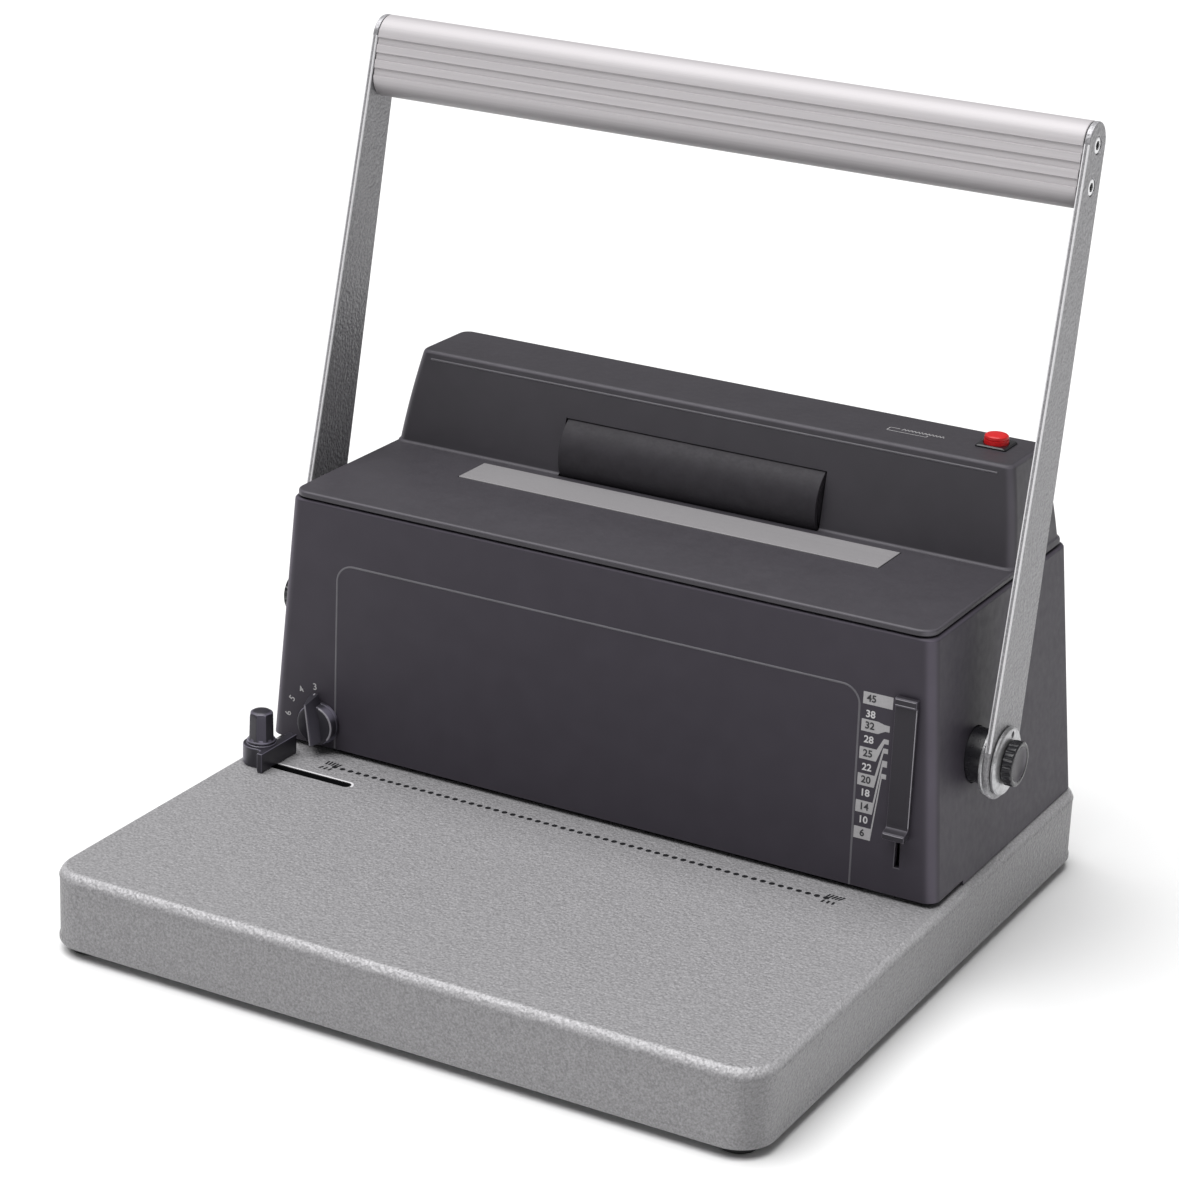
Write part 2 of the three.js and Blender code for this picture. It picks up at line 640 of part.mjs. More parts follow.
function drivePieces() {
  const { radius, stud, shoulder, end } = SHAFT;
  const shaft = join(
    rodX(radius, -shoulder, shoulder, PIVOT.y, PIVOT.z, 24),
    rodX(stud, -end, end, PIVOT.y, PIVOT.z, 24),
  );
  addMesh('drive_shaft', shaft, COLOUR.steel);

  for (const [name, side] of SIDES) {
    const outline = new THREE.Shape();
    const steps = 14;
    for (let i = 0; i <= steps; i += 1) {
      const turn = ((CAM.sweep + CAM.overrun) * i) / steps;
      const reach = CAM.start + (CAM.rise * turn) / CAM.sweep;
      const point = [-reach * Math.sin(turn * RAD), -reach * Math.cos(turn * RAD)];
      if (i === 0) outline.moveTo(...point);
      else outline.lineTo(...point);
    }
    outline.absarc(0, 0, CAM.hub, 150 * RAD, -45 * RAD, true);
    const disc = new THREE.ExtrudeGeometry(outline, {
      depth: CAM.thickness,
      bevelEnabled: false,
      curveSegments: 12,
    });
    disc.applyMatrix4(new THREE.Matrix4().makeBasis(
      new THREE.Vector3(0, 1, 0),
      new THREE.Vector3(0, 0, 1),
      new THREE.Vector3(1, 0, 0),
    ));
    disc.translate(side * PUNCH.tailX - CAM.thickness / 2, PIVOT.y, PIVOT.z);
    const bore = rodX(radius + 0.4, -150, 150, PIVOT.y, PIVOT.z, 24);
    addMesh(`drive_cam_${name}`, toSolid(disc).subtract(bore), COLOUR.steel);

    const collar = rodX(COLLAR.radius, COLLAR.inner, COLLAR.outer, PIVOT.y, PIVOT.z, 36)
      .subtract(rodX(radius + 0.35, COLLAR.inner - 1, COLLAR.outer + 1, PIVOT.y, PIVOT.z, 24));
    addMesh(`bearing_collar_${name}`, mirrored(collar, side), COLOUR.black);

    const studHole = rodX(stud + 0.4, 200, 222, PIVOT.y, PIVOT.z, 24);
    const flangeOut = ARM.outer - ARM.thickness - 0.5;
    const flange = rodX(HUB.flangeRadius, HUB.flangeIn, flangeOut, PIVOT.y, PIVOT.z, 36).subtract(studHole);
    addMesh(`hub_flange_${name}`, mirrored(flange, side), COLOUR.castSilver);
    const boss = rodX(HUB.bossRadius, HUB.bossIn, HUB.bossOut, PIVOT.y, PIVOT.z, 36).subtract(studHole);
    addMesh(`hub_boss_${name}`, mirrored(boss, side), COLOUR.castSilver);
  }
}

function clampKnobs() {
  const { radius, inner, outer, dish, dishDepth } = CLAMP;
  const bore = SHAFT.stud + 0.4;
  const boreEnd = SHAFT.end + GAP;
  const rimRound = 0.7;
  const knob = latheX([
    [0, boreEnd],
    [bore, boreEnd],
    [bore, inner],
    [radius - rimRound, inner],
    [radius, inner + rimRound],
    [radius, outer - rimRound],
    [radius - rimRound, outer],
    [dish, outer],
    [dish - 1.2, outer - dishDepth],
    [0, outer - dishDepth - 0.6],
  ], 28).translate([0, PIVOT.y, PIVOT.z]);
  for (const [name, side] of SIDES) addMesh(`clamp_knob_${name}`, mirrored(knob, side), COLOUR.black);
}

function handle() {
  const footRadius = ARM.foot / 2;
  const headRadius = ARM.head / 2;
  const headCentre = ARM.length - headRadius;
  const outline = new THREE.Shape();
  outline.absarc(0, 0, footRadius, 180 * RAD, 360 * RAD);
  outline.lineTo(headRadius, headCentre);
  outline.absarc(0, headCentre, headRadius, 0, 180 * RAD);
  const plate = new THREE.ExtrudeGeometry(outline, {
    depth: ARM.thickness,
    bevelEnabled: false,
    curveSegments: 8,
  }).translate(0, 0, ARM.outer - ARM.thickness);
  const { position } = plate.attributes;
  for (let i = 0; i < position.count; i += 1) {
    position.setZ(i, position.getZ(i) - ARM.splay * position.getY(i));
  }
  const alongX = (radius, height, offset, x0, x1, sides) => toSolid(
    new THREE.CylinderGeometry(radius, radius, x1 - x0, sides).rotateX(90 * RAD)
      .translate(offset, height, (x0 + x1) / 2),
  );
  const { heights, offset, head, headLength, shank, length } = GRIP_SCREW;
  const screwHoles = heights.flatMap((height) => {
    const outer = armOuterAt(height);
    return [
      alongX(head + 0.35, height, offset, outer - headLength - 0.6, outer + 2, 24),
      alongX(shank + 0.4, height, offset, outer - 6, outer + 2, 16),
    ];
  });
  const studHole = alongX(SHAFT.stud + 0.4, 0, 0, 200, 222, 24);
  const arm = onArm(cut(toSolid(plate), studHole, ...screwHoles));

  for (const [sideName, side] of SIDES) {
    addMesh(`handle_arm_${sideName}`, mirrored(arm, side), COLOUR.silverCoat);
    for (const [levelName, height] of [['lower', heights[0]], ['upper', heights[1]]]) {
      const outer = armOuterAt(height) - 0.2;
      const screw = cut(
        join(
          alongX(head, height, offset, outer - headLength, outer, 24),
          alongX(shank, height, offset, outer - length, outer - headLength + 0.5, 16),
        ),
        alongX(1.9, height, offset, outer - 1.4, outer + 1, 6),
      );
      addMesh(`grip_screw_${levelName}_${sideName}`, mirrored(onArm(screw), side), COLOUR.steel);
    }
  }

  const half = GRIP.width / 2;
  const section = new THREE.Shape();
  section.absarc(0, GRIP.low + half, half, 180 * RAD, 360 * RAD);
  section.absarc(0, GRIP.high - half, half, 0, 180 * RAD);
  for (const height of heights) {
    const port = new THREE.Path();
    port.absarc(offset, height, shank + 0.4, 0, 2 * Math.PI, true);
    section.holes.push(port);
  }
  const channel = 7.5;
  const middle = (heights[0] + heights[1]) / 2;
  section.holes.push(roundedRect(-channel, middle - 5.5, channel, middle + 5.5, 1));
  const bar = new THREE.ExtrudeGeometry(section, {
    depth: 2 * GRIP.halfLength,
    bevelEnabled: false,
    curveSegments: 6,
  }).translate(0, 0, -GRIP.halfLength);
  const grooves = GROOVES.flatMap(([low, high]) => SIDES.map(([, side]) => {
    const floor = side * (half - GRIP.grooveDepth);
    const reach = side * (half + 1);
    return boxBetween(Math.min(floor, reach), Math.max(floor, reach), low, high, -210, 210);
  }));
  addMesh('grip_bar', onArm(cut(toSolid(bar), ...grooves)), COLOUR.aluminium);
}

// ---------- controls ----------
// A disc whose rear face climbs steadily, so that turning it pushes the nose of the depth stop back.
function faceCam() {
  const { radius, bore, front, face, rise, sweep, start, end } = MARGIN_CAM;
  const profile = [[0, front], [radius, front], [radius, face], [bore, face], [bore, front + 2], [0, front + 2]];
  const disc = new THREE.LatheGeometry(profile.map(([r, y]) => new THREE.Vector2(r, y)), 24);
  const { position } = disc.attributes;
  for (let i = 0; i < position.count; i += 1) {
    if (position.getY(i) < face) continue;
    const fromBottom = Math.round(Math.atan2(-position.getX(i), -position.getZ(i)) / RAD);
    const onRamp = fromBottom >= start && fromBottom <= end;
    position.setY(i, face + (rise * (onRamp ? fromBottom : start)) / sweep);
  }
  return toSolid(disc);
}

function marginKnob() {
  const { x, z, skirt, disc, face, crest, turn, shaft } = MARGIN;
  const wallFace = HOUSING.front - GAP;
  const ridge = new THREE.BoxGeometry(1, 1, 1);
  const { position } = ridge.attributes;
  for (let i = 0; i < position.count; i += 1) {
    const atCrest = position.getY(i) < 0;
    const upper = position.getZ(i) > 0;
    const halfWidth = atCrest ? 0.9 : 4.2;
    const tip = atCrest ? 13.2 : 16.2;
    const tail = atCrest ? -7.8 : -8.6;
    position.setXYZ(
      i,
      Math.sign(position.getX(i)) * (upper ? halfWidth * 0.55 : halfWidth),
      atCrest ? crest : -1,
      upper ? tip : tail,
    );
  }
  ridge.rotateY(-turn * RAD).translate(x, 0, z);
  const knob = join(
    rodY(skirt, wallFace - 2.2, wallFace, x, z, 40),
    rodY(disc, face, wallFace - 1, x, z, 40),
    toSolid(ridge),
  );
  addMesh('margin_knob', knob.subtract(rodY(shaft + GAP, -2, 10, x, z, 16)), COLOUR.black);
  const cam = join(rodY(shaft, -1.7, MARGIN_CAM.front + 1, x, z, 16), faceCam().translate([x, 0, z]));
  addMesh('margin_cam', cam, COLOUR.steel);
}

function sideStop() {
  const { x, y, height, stem } = STOP;
  const bottom = TABLE + GAP;
  const top = TABLE + height;
  const faceX = -175;
  const outline = polygon([
    [faceX, -41.8],
    [faceX, -7.3],
    [faceX - 5, -7.3],
    [x - 7.4, y + 8],
    [x - 8.4, y + 4],
    [x - 8.4, y - 6],
    [x - 5.6, y - 10.5],
  ]);
  const half = stem / 2;
  const block = join(
    slab(outline, bottom, top),
    boxBetween(x - half, x + half, y - half, y + half, TABLE - WALL - 8, bottom + 1),
    rodZ(2, top - 1, top + 10, x, y, 12),
  );
  addMesh('side_stop_block', block, COLOUR.black);

  const nut = boxBetween(x - 7, x + 7, y - 5, y + 5, TABLE - WALL - 6, TABLE - WALL - GAP);
  const square = boxBetween(x - half - GAP, x + half + GAP, y - half - GAP, y + half + GAP, 30, TABLE);
  addMesh('side_stop_nut', nut.subtract(square), COLOUR.steel);

  const { foot, head, top: knobTop, collar } = STOP_KNOB;
  const knobBottom = top + GAP;
  const profile = [
    [2.4, knobBottom],
    [collar, knobBottom],
    [collar, knobBottom + 1.2],
    [foot, knobBottom + 1.6],
    [head, knobTop - 2.2],
    [head - 0.8, knobTop - 1],
    [head - 2.6, knobTop - 0.2],
    [0, knobTop],
    [0, top + 10.5],
    [2.4, top + 10.5],
    [2.4, knobBottom],
  ].map(([radius, z]) => new THREE.Vector2(radius, z));
  const knob = new THREE.LatheGeometry(profile, 24).rotateX(90 * RAD).translate(x, y, 0);
  addMesh('side_stop_knob', toSolid(knob), COLOUR.black);
}

function coilGauge() {
  const { left, right, foot, lip, ledge, top, face, reach } = GAUGE;
  const back = HOUSING.front - GAP;
  const half = GAUGE_SLOT.width / 2 - GAP;
  const slider = join(
    boxBetween(left, right, face, back, foot, top),
    boxBetween(left, right, face - reach, back, foot, lip),
    boxBetween(left, right, face - 1.4, back, ledge, top),
    boxBetween(GAUGE_SLOT.x - half, GAUGE_SLOT.x + half, back - 1, 9.4, 98, 106),
    boxBetween(GAUGE_SLOT.x - 4.5, GAUGE_SLOT.x + 4.5, 7.2, 9.4, 98, 106),
  );
  addMesh('coil_gauge', slider, COLOUR.brown);
}

baseTray();
bottomCoverAndFeet();
chipDrawer();
housingAndRearCover();
powerInlet();
topCover();
pushButton();
rollerDrive();
controlBoard();
dieAndGuide();
punchCarriage();
depthStop();
sideFrames();
drivePieces();
clampKnobs();
handle();
marginKnob();
sideStop();
coilGauge();

export default group;
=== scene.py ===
"""Coil binding machine: the detailed visual model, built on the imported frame.

Sizes below are in millimetres in the part's own frame (+X right, +Y back, +Z up).
make() turns them to metres.
"""
import json
import math

import bmesh
import bpy
from mathutils import Matrix, Vector


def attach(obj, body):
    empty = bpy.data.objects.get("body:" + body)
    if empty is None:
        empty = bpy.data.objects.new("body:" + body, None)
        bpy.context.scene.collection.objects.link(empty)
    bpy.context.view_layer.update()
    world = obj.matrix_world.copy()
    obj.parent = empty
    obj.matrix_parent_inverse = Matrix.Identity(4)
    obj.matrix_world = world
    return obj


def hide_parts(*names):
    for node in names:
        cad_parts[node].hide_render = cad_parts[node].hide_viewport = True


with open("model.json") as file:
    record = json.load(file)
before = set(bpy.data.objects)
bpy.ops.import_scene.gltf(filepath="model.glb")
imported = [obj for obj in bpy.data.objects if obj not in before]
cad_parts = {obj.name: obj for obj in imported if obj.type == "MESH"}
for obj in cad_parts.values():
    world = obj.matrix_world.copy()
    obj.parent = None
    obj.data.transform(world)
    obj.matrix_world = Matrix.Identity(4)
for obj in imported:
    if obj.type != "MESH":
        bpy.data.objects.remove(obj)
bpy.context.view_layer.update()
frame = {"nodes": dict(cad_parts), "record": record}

# ---------- driving dimensions ----------
MM = 0.001
TABLE = 46.3  # height of the paper table

BASE = {"x": 2.0, "width": 404.7, "depth": 402.3, "corner": 20.0, "wall": 3.0}
# How far the tray's side stands in from its outline, and at what height: lip, wall, ridge and top rounding.
BASE_PROFILE = (
    (1.6, 5.0), (0.5, 5.4), (0.0, 6.4), (0.0, 8.0), (0.25, 8.8), (0.6, 9.4),
    (0.6, 40.4), (0.35, 40.9), (0.35, 41.4), (0.7, 42.1), (1.5, 43.8), (2.7, 45.1), (3.9, 45.9),
    (4.4, 46.2), (5.2, 46.3),
)
FOOT = {"x": 185.05, "y": 184.85, "radius": 10.4}

HOUSING = {
    "sill": 46.6, "bottom": 49.1, "top": 189.3, "half": 199.7, "front": 3.5, "rear": 192.5,
    "corner": 7.6, "wall": 3.0, "side_draft": 0.0802, "front_draft": 0.0036, "rear_draft": 0.0799,
    "edge": 2.0, "throat_depth": 40.4,
}
LID = {"bottom": 190.5, "top": 193.6, "half": 187.0, "front": 4.0, "rear": 180.0, "corner": 9.0, "edge": 1.6}
LIP = {"bottom": 184.0, "half": 185.0, "front": 7.4, "rear": 177.9, "corner": 5.0, "wall": 2.0}
TOWER = {
    "top": 246.15, "wall": 2.5, "corner": 6.0, "edge": 2.2, "bulge": 0.8,
    "foot": (186.2, 108.35, 175.4), "head": (177.3, 117.85, 165.8),  # half width, front, rear
}
STRIP = {"x": 1.0, "half": 125.5, "front": 73.3, "rear": 100.8, "recess": 0.8, "top": 194.0}
ROLLER = {"y": 126.5, "z": 205.2, "radius": 22.5, "left": -80.5, "right": 75.3, "gap": 0.8, "bore": 4.3}
BUTTON = {"x": 156.5, "y": 147.0, "radius": 6.6, "bezel": 17.5}

PIVOT = Vector((0.0, 56.05, 112.5))
ARM = {
    "outer": 209.5, "thick": 3.0, "foot": 20.25, "head": 11.85, "length": 323.8, "lean": 11.85,
    "splay": 2.9 / 320,  # how far the arm leans inwards for each millimetre of its length
}
GRIP = {"half": 203.2, "depth": 23.6, "low": 279.8, "high": 323.8, "groove": 0.9}
GROOVES = ((290.4, 294.8), (298.8, 303.0), (307.0, 311.2))
SCREW = {"heights": (291.2, 311.9), "offset": 0.8, "head": 4.3}

MARGIN = {"x": -166.8, "z": 63.0, "skirt": 12.1, "disc": 11.7, "face": -3.4, "crest": -9.4, "turn": 9.0}
STOP = {
    "x": -184.8, "y": -27.5, "top": 57.6, "crown": 76.6, "boss": 10.0, "flutes": 8,
    "slot_near": -31.6, "slot_far": -25.6, "slot_end": -126.6,
}
GAUGE = {
    "left": 171.5, "right": 183.5, "slot_x": 177.6, "slot_half": 1.4, "slot_low": 64.8, "slot_high": 108.0,
}
SCALE = {"left": 153.0, "right": 162.2, "plate": 168.4, "half": 3.25}
# Printed size, height, whether it has a light box, and the height that its pointer leads to.
SCALE_ROWS = (
    ("45", 152.0, True, None), ("38", 143.6, False, None), ("32", 137.4, True, 138.0),
    ("28", 129.9, False, None), ("25", 122.4, True, 131.0), ("22", 114.9, False, None),
    ("20", 108.1, True, 126.0), ("18", 101.0, False, None), ("14", 93.4, True, 119.0),
    ("10", 86.3, False, None), ("6", 79.0, True, 112.2),
)
PANEL = {
    "left": -157.6, "right": 151.2, "foot_right": 152.6, "top": 156.8, "corner": 10.0,
    "half": 0.6, "proud": 0.25,
}
HOLES = {"count": 59, "pitch": 5.08, "y": -12.15, "radius": 1.6}
PRINT = 0.06  # thickness of printed marks
REAR_WINDOW = {"half": 150, "low": 62, "high": 178}
LOUVRES = {"count": 12, "first": -120, "pitch": 9, "half": 1.5, "low": 120, "high": 150, "corner": 1.4}
INLET = {"x": 110, "z": 80, "half": 14, "tall": 9.5}
DRAWER = {"left": -200.2, "right": 150, "front": -20.5, "rear": 50.5, "bottom": 9, "top": 34.5}

CAMERA = {
    "place": (779.82, -1465.74, 799.01),
    "looks_at": (-28.76, 50.64, 155.46),
    "roll": 2.378,
    "lens": 105.432,
}


# ---------- materials ----------
class Surface:
    """A Principled material with its procedural inputs added one at a time."""

    def __init__(self, name, colour, roughness, metallic=0.0, specular=0.5, coat=0.0):
        self.material = bpy.data.materials.new(name)
        self.material.use_nodes = True
        self.nodes = self.material.node_tree.nodes
        self.links = self.material.node_tree.links
        self.shader = self.nodes["Principled BSDF"]
        self.place = self.add("TexCoord").outputs["Object"]
        self.colour = colour
        for socket, value in (
            ("Base Color", (*colour, 1)), ("Roughness", roughness), ("Metallic", metallic),
            ("Specular IOR Level", specular), ("Coat Weight", coat), ("Coat Roughness", 0.15),
        ):
            self.shader.inputs[socket].default_value = value
        self.material.diffuse_color = (*colour, 1)
        self.tone = None
        self.height = None

    def add(self, kind, **values):
        """A new node with these input values; an underscore stands for a space."""
        node = self.nodes.new("ShaderNode" + kind)
        for socket, value in values.items():
            node.inputs[socket.replace("_", " ")].default_value = value
        return node

    def stretched(self, scale):
        mapping = self.add("Mapping", Scale=scale)
        self.links.new(self.place, mapping.inputs["Vector"])
        return mapping.outputs["Vector"]

    def noise(self, scale, detail=3.0, stretch=None):
        node = self.add("TexNoise", Scale=scale, Detail=detail)
        self.links.new(self.stretched(stretch) if stretch else self.place, node.inputs["Vector"])
        return node.outputs["Fac"]

    def cells(self, scale):
        node = self.add("TexVoronoi", Scale=scale)
        node.feature = "SMOOTH_F1"
        self.links.new(self.place, node.inputs["Vector"])
        return node.outputs["Distance"]

    def ranged(self, value, low, high):
        node = self.add("MapRange", From_Min=0.3, From_Max=0.7, To_Min=low, To_Max=high)
        self.links.new(value, node.inputs["Value"])
        return node.outputs["Result"]

    def times(self, share):
        return (*(min(1, c * share) for c in self.colour), 1)

    def mix(self, factor, kind, first, second):
        """Mixes two colours by factor into the base colour; first is None for the present tone."""
        node = self.add("Mix")
        node.data_type = "RGBA"
        node.blend_type = kind
        colours = [socket for socket in node.inputs if socket.type == "RGBA"]
        if first is None:
            self.links.new(self.tone, colours[0])
        else:
            colours[0].default_value = first
        colours[1].default_value = second
        self.links.new(factor, node.inputs["Factor"])
        self.tone = next(socket for socket in node.outputs if socket.type == "RGBA")
        self.links.new(self.tone, self.shader.inputs["Base Color"])
        return self

    def scaled(self, factor, share):
        return self.mix(factor, "MULTIPLY", None, (share, share, share, 1))

    def tint(self, value, dark, light):
        return self.mix(self.ranged(value, 0, 1), "MIX", self.times(dark), self.times(light))

    def maths(self, operation, first, second):
        node = self.add("Math")
        node.operation = operation
        for socket, value in zip(node.inputs, (first, second)):
            if isinstance(value, (int, float)):
                socket.default_value = value
            else:
                self.links.new(value, socket)
        return node.outputs["Value"]

    def facing(self):
        """The squares of the surface normal's parts, in the piece's own axes."""
        square = self.add("VectorMath")
        square.operation = "MULTIPLY"
        split = self.add("SeparateXYZ")
        normal = self.add("TexCoord").outputs["Normal"]
        self.links.new(normal, square.inputs[0])
        self.links.new(normal, square.inputs[1])
        self.links.new(square.outputs["Vector"], split.inputs["Vector"])
        return split.outputs

    def between(self, value, start, full):
        node = self.add("MapRange", From_Min=start, From_Max=full)
        node.interpolation_type = "SMOOTHSTEP"
        self.links.new(value, node.inputs["Value"])
        return node.outputs["Result"]

    def paint_rim_highlights(self, share, start=0.3, full=1.0):
        """Painted highlight: rounded edges between a level and an upright face are lightened to share times the
        colour.
        """
        z = self.facing()["Z"]
        turn = self.maths("MULTIPLY", self.maths("MULTIPLY", z, self.maths("SUBTRACT", 1, z)), 4)
        return self.scaled(self.between(turn, start, full), share)

    def paint_corner_light_and_shade(self, share, start=0.3, full=1.0):
        """Rounded edges between two upright faces are set to share times the colour: a painted highlight where
        share is above 1, painted shade where it is below 1.
        """
        parts = self.facing()
        turn = self.maths("MULTIPLY", self.maths("MULTIPLY", parts["X"], parts["Y"]), 4)
        return self.scaled(self.between(turn, start, full), share)

    def paint_underside_shade(self, share):
        """Painted shade: faces that look down are darkened to share times the colour."""
        split = self.add("SeparateXYZ")
        self.links.new(self.add("TexCoord").outputs["Normal"], split.inputs["Vector"])
        return self.scaled(self.between(split.outputs["Z"], 0.1, -0.75), share)

    # Painted shade: upright faces are darkened to share times the colour.
    def dull_uprights(self, share):
        return self.scaled(self.between(self.facing()["Z"], 0.35, 0.05), share)

    def gloss(self, value, low, high):
        self.links.new(self.ranged(value, low, high), self.shader.inputs["Roughness"])
        return self

    def bump(self, value, strength, distance):
        node = self.add("Bump", Strength=strength, Distance=distance)
        self.links.new(value, node.inputs["Height"])
        if self.height:
            self.links.new(self.height, node.inputs["Normal"])
        self.height = node.outputs["Normal"]
        self.links.new(self.height, self.shader.inputs["Normal"])
        return self


def hammertone(name, colour, rims=1.3, corners=0.85, uprights=0.78):
    s = Surface(name, colour, 0.45, metallic=0.1)
    s.tint(s.noise(1000, 4), 0.72, 1.28)
    # Painted light: highlights on rounded rims, shade on upright faces, and on rounded upright corners a
    # highlight when corners is above 1, shade when below.
    s.paint_rim_highlights(rims, 0.5).paint_corner_light_and_shade(corners).dull_uprights(uprights)
    s.gloss(s.noise(500, 3), 0.34, 0.5)
    s.bump(s.cells(560), 0.8, 0.0008)
    return s.bump(s.noise(1500, 2), 0.25, 0.0003).material


def moulded(name, colour, roughness=0.42, specular=0.5, rims=1.7, corners=2.0):
    s = Surface(name, colour, roughness, specular=specular)
    s.tint(s.noise(60, 4), 0.95, 1.05)
    # Painted highlights on rounded rims and on rounded upright corners.
    s.paint_rim_highlights(rims).paint_corner_light_and_shade(corners, 0.1)
    s.gloss(s.noise(240, 3), roughness - 0.04, roughness + 0.05)
    return s.bump(s.noise(3200, 2), 0.12, 0.00012).material


def glossy(name, colour, roughness=0.22, coat=0.3):
    s = Surface(name, colour, roughness, coat=coat)
    s.tint(s.noise(90, 3), 0.9, 1.1)
    s.gloss(s.noise(400, 3), roughness - 0.05, roughness + 0.06)
    return s.bump(s.noise(1500, 2), 0.05, 0.0001).material


def rubber(name, colour, roughness=0.62):
    s = Surface(name, colour, roughness, specular=0.35)
    s.tint(s.noise(130, 4), 0.88, 1.12)
    s.gloss(s.noise(600, 3), roughness - 0.06, roughness + 0.08)
    return s.bump(s.noise(2600, 3), 0.2, 0.00015).material


ACROSS = (3, 1500, 1500)  # brush lines along X


def brushed(name, colour, roughness, stretch, metallic=0.5):
    s = Surface(name, colour, roughness, metallic=metallic)
    lines = s.noise(1, 4, stretch)
    s.tint(lines, 0.93, 1.06)
    s.gloss(lines, roughness - 0.06, roughness + 0.08)
    return s.bump(lines, 0.12, 0.00008).material


def anodised(name, colour):
    s = Surface(name, colour, 0.46, metallic=0.12)
    lines = s.noise(1, 4, ACROSS)
    s.tint(lines, 0.95, 1.05)
    # Painted shade on faces that look down.
    s.paint_underside_shade(0.5)
    s.gloss(lines, 0.4, 0.54)
    return s.bump(lines, 0.1, 0.00006).material


def cast(name, colour):
    s = Surface(name, colour, 0.38, metallic=0.75)
    s.tint(s.noise(300, 4), 0.8, 1.15)
    s.gloss(s.noise(500, 3), 0.26, 0.5)
    return s.bump(s.noise(650, 4), 0.4, 0.0004).material


def printed(name, colour):
    s = Surface(name, colour, 0.5)
    s.tint(s.noise(1200, 3), 0.94, 1.06)
    return s.bump(s.noise(2500, 2), 0.08, 0.0001).material


MATERIALS = {
    "silver_coat": hammertone("silver_hammertone", (0.33, 0.325, 0.335)),
    "cast_silver": cast("cast_metal", (0.5, 0.5, 0.51)),
    "dark_plastic": moulded("housing_plastic", (0.051, 0.045, 0.058), 0.5, 0.25),
    "lid_plastic": moulded("lid_plastic", (0.055, 0.051, 0.06), 0.5, 0.4),
    "black_plastic": glossy("black_plastic", (0.014, 0.0135, 0.017), 0.3, 0.15),
    "steel": brushed("machined_steel", (0.42, 0.42, 0.43), 0.34, (900, 900, 20), 0.95),
    "brushed_aluminium": anodised("brushed_aluminium", (0.56, 0.535, 0.55)),
    "rubber": rubber("foot_rubber", (0.018, 0.018, 0.019)),
    "red_plastic": glossy("button_red", (0.8, 0.008, 0.012), 0.4, 0.1),
    "slate_plastic": moulded("gauge_plastic", (0.036, 0.033, 0.04), 0.42, 0.25, 2.4, 3.0),
    "circuit_board": moulded("solder_mask", (0.015, 0.11, 0.05), 0.35),
    "brass": brushed("turned_brass", (0.55, 0.4, 0.16), 0.3, (20, 900, 900), 0.95),
}
ARM_COAT = hammertone("arm_hammertone", (0.36, 0.355, 0.37), 1.6, 1.6, 0.8)
# Painted highlight for the bright arm chamfers and the side-stop slot's far edge.
EDGE_HIGHLIGHT = printed("painted_edge_highlight", (0.8, 0.79, 0.81))
EDGE_METAL = brushed("bright_edge", (0.75, 0.75, 0.76), 0.3, (900, 900, 20), 0.9)
ROLLER_COAT = rubber("roller_coat", (0.034, 0.031, 0.037), 0.6)
KNOB_SATIN = moulded("knob_satin", (0.028, 0.026, 0.034), 0.36, 0.4, 5.0, 4.0)
KNOB_DISH = moulded("knob_dish", (0.075, 0.07, 0.08), 0.4)
# Painted highlight for light rims, ridges and edges on the knobs, dial and gauge.
RIM_HIGHLIGHT = moulded("painted_rim_highlight", (0.34, 0.33, 0.36), 0.3, rims=1, corners=1)
STRIP_METAL = anodised("strip_metal", (0.33, 0.32, 0.33))
# Painted highlight for the moulded lines and the gauge slot's rim.
LINE_HIGHLIGHT = moulded("painted_line_highlight", (0.13, 0.125, 0.14), 0.4, rims=1, corners=1)
INK_LIGHT = printed("ink_light", (0.42, 0.41, 0.42))
INK_WHITE = printed("ink_white", (0.62, 0.61, 0.62))
INK_GREY = printed("ink_grey", (0.5, 0.49, 0.5))
# Black print for the table marks, and painted shade in the side-stop slot and the screw sockets.
BLACK_INK_AND_SHADE = printed("black_ink_and_painted_shade", (0.008, 0.008, 0.01))
INK_DARK = printed("ink_dark", (0.035, 0.034, 0.038))


# ---------- mesh helpers ----------
def link(name, data):
    obj = bpy.data.objects.new(name, data)
    bpy.context.scene.collection.objects.link(obj)
    return obj


def make(name, points, faces):
    mesh = bpy.data.meshes.new(name)
    mesh.from_pydata([Vector(p) * MM for p in points], [], faces)
    work = bmesh.new()
    work.from_mesh(mesh)
    bmesh.ops.recalc_face_normals(work, faces=work.faces)
    work.to_mesh(mesh)
    work.free()
    return link(name, mesh)


def rounded(x0, y0, x1, y1, radius, steps=8):
    """The corners of a rounded rectangle, anticlockwise from its lower left arc."""
    centres = (
        (x0 + radius, y0 + radius, 180), (x1 - radius, y0 + radius, 270),
        (x1 - radius, y1 - radius, 0), (x0 + radius, y1 - radius, 90),
    )
    return [
        (cx + radius * math.cos(math.radians(start + 90 * i / steps)),
         cy + radius * math.sin(math.radians(start + 90 * i / steps)))
        for cx, cy, start in centres for i in range(steps + 1)
    ]


def arc(cx, cy, radius, start, end, steps):
    angles = [math.radians(start + (end - start) * i / steps) for i in range(steps + 1)]
    return [(cx + radius * math.cos(a), cy + radius * math.sin(a)) for a in angles]


def skin(name, rings, closed=False):
    """A solid through rings of points: capped at its two ends, or closed on itself."""
    count = len(rings[0])
    points = [p for ring in rings for p in ring]
    faces = []
    spans = len(rings) if closed else len(rings) - 1
    for r in range(spans):
        here, there = r * count, (r + 1) % len(rings) * count
        for i in range(count):
            j = (i + 1) % count
            faces.append((here + i, here + j, there + j, there + i))
    if not closed:
        faces.append(tuple(range(count)))
        faces.append(tuple(range(len(points) - count, len(points))))
    return make(name, points, faces)


def level(outline, z):
    return [(x, y, z) for x, y in outline]


def slab(name, outline, z0, z1):
    return skin(name, [level(outline, z0), level(outline, z1)])


def block(name, x0, x1, y0, y1, z0, z1):
    return slab(name, [(x0, y0), (x1, y0), (x1, y1), (x0, y1)], z0, z1)


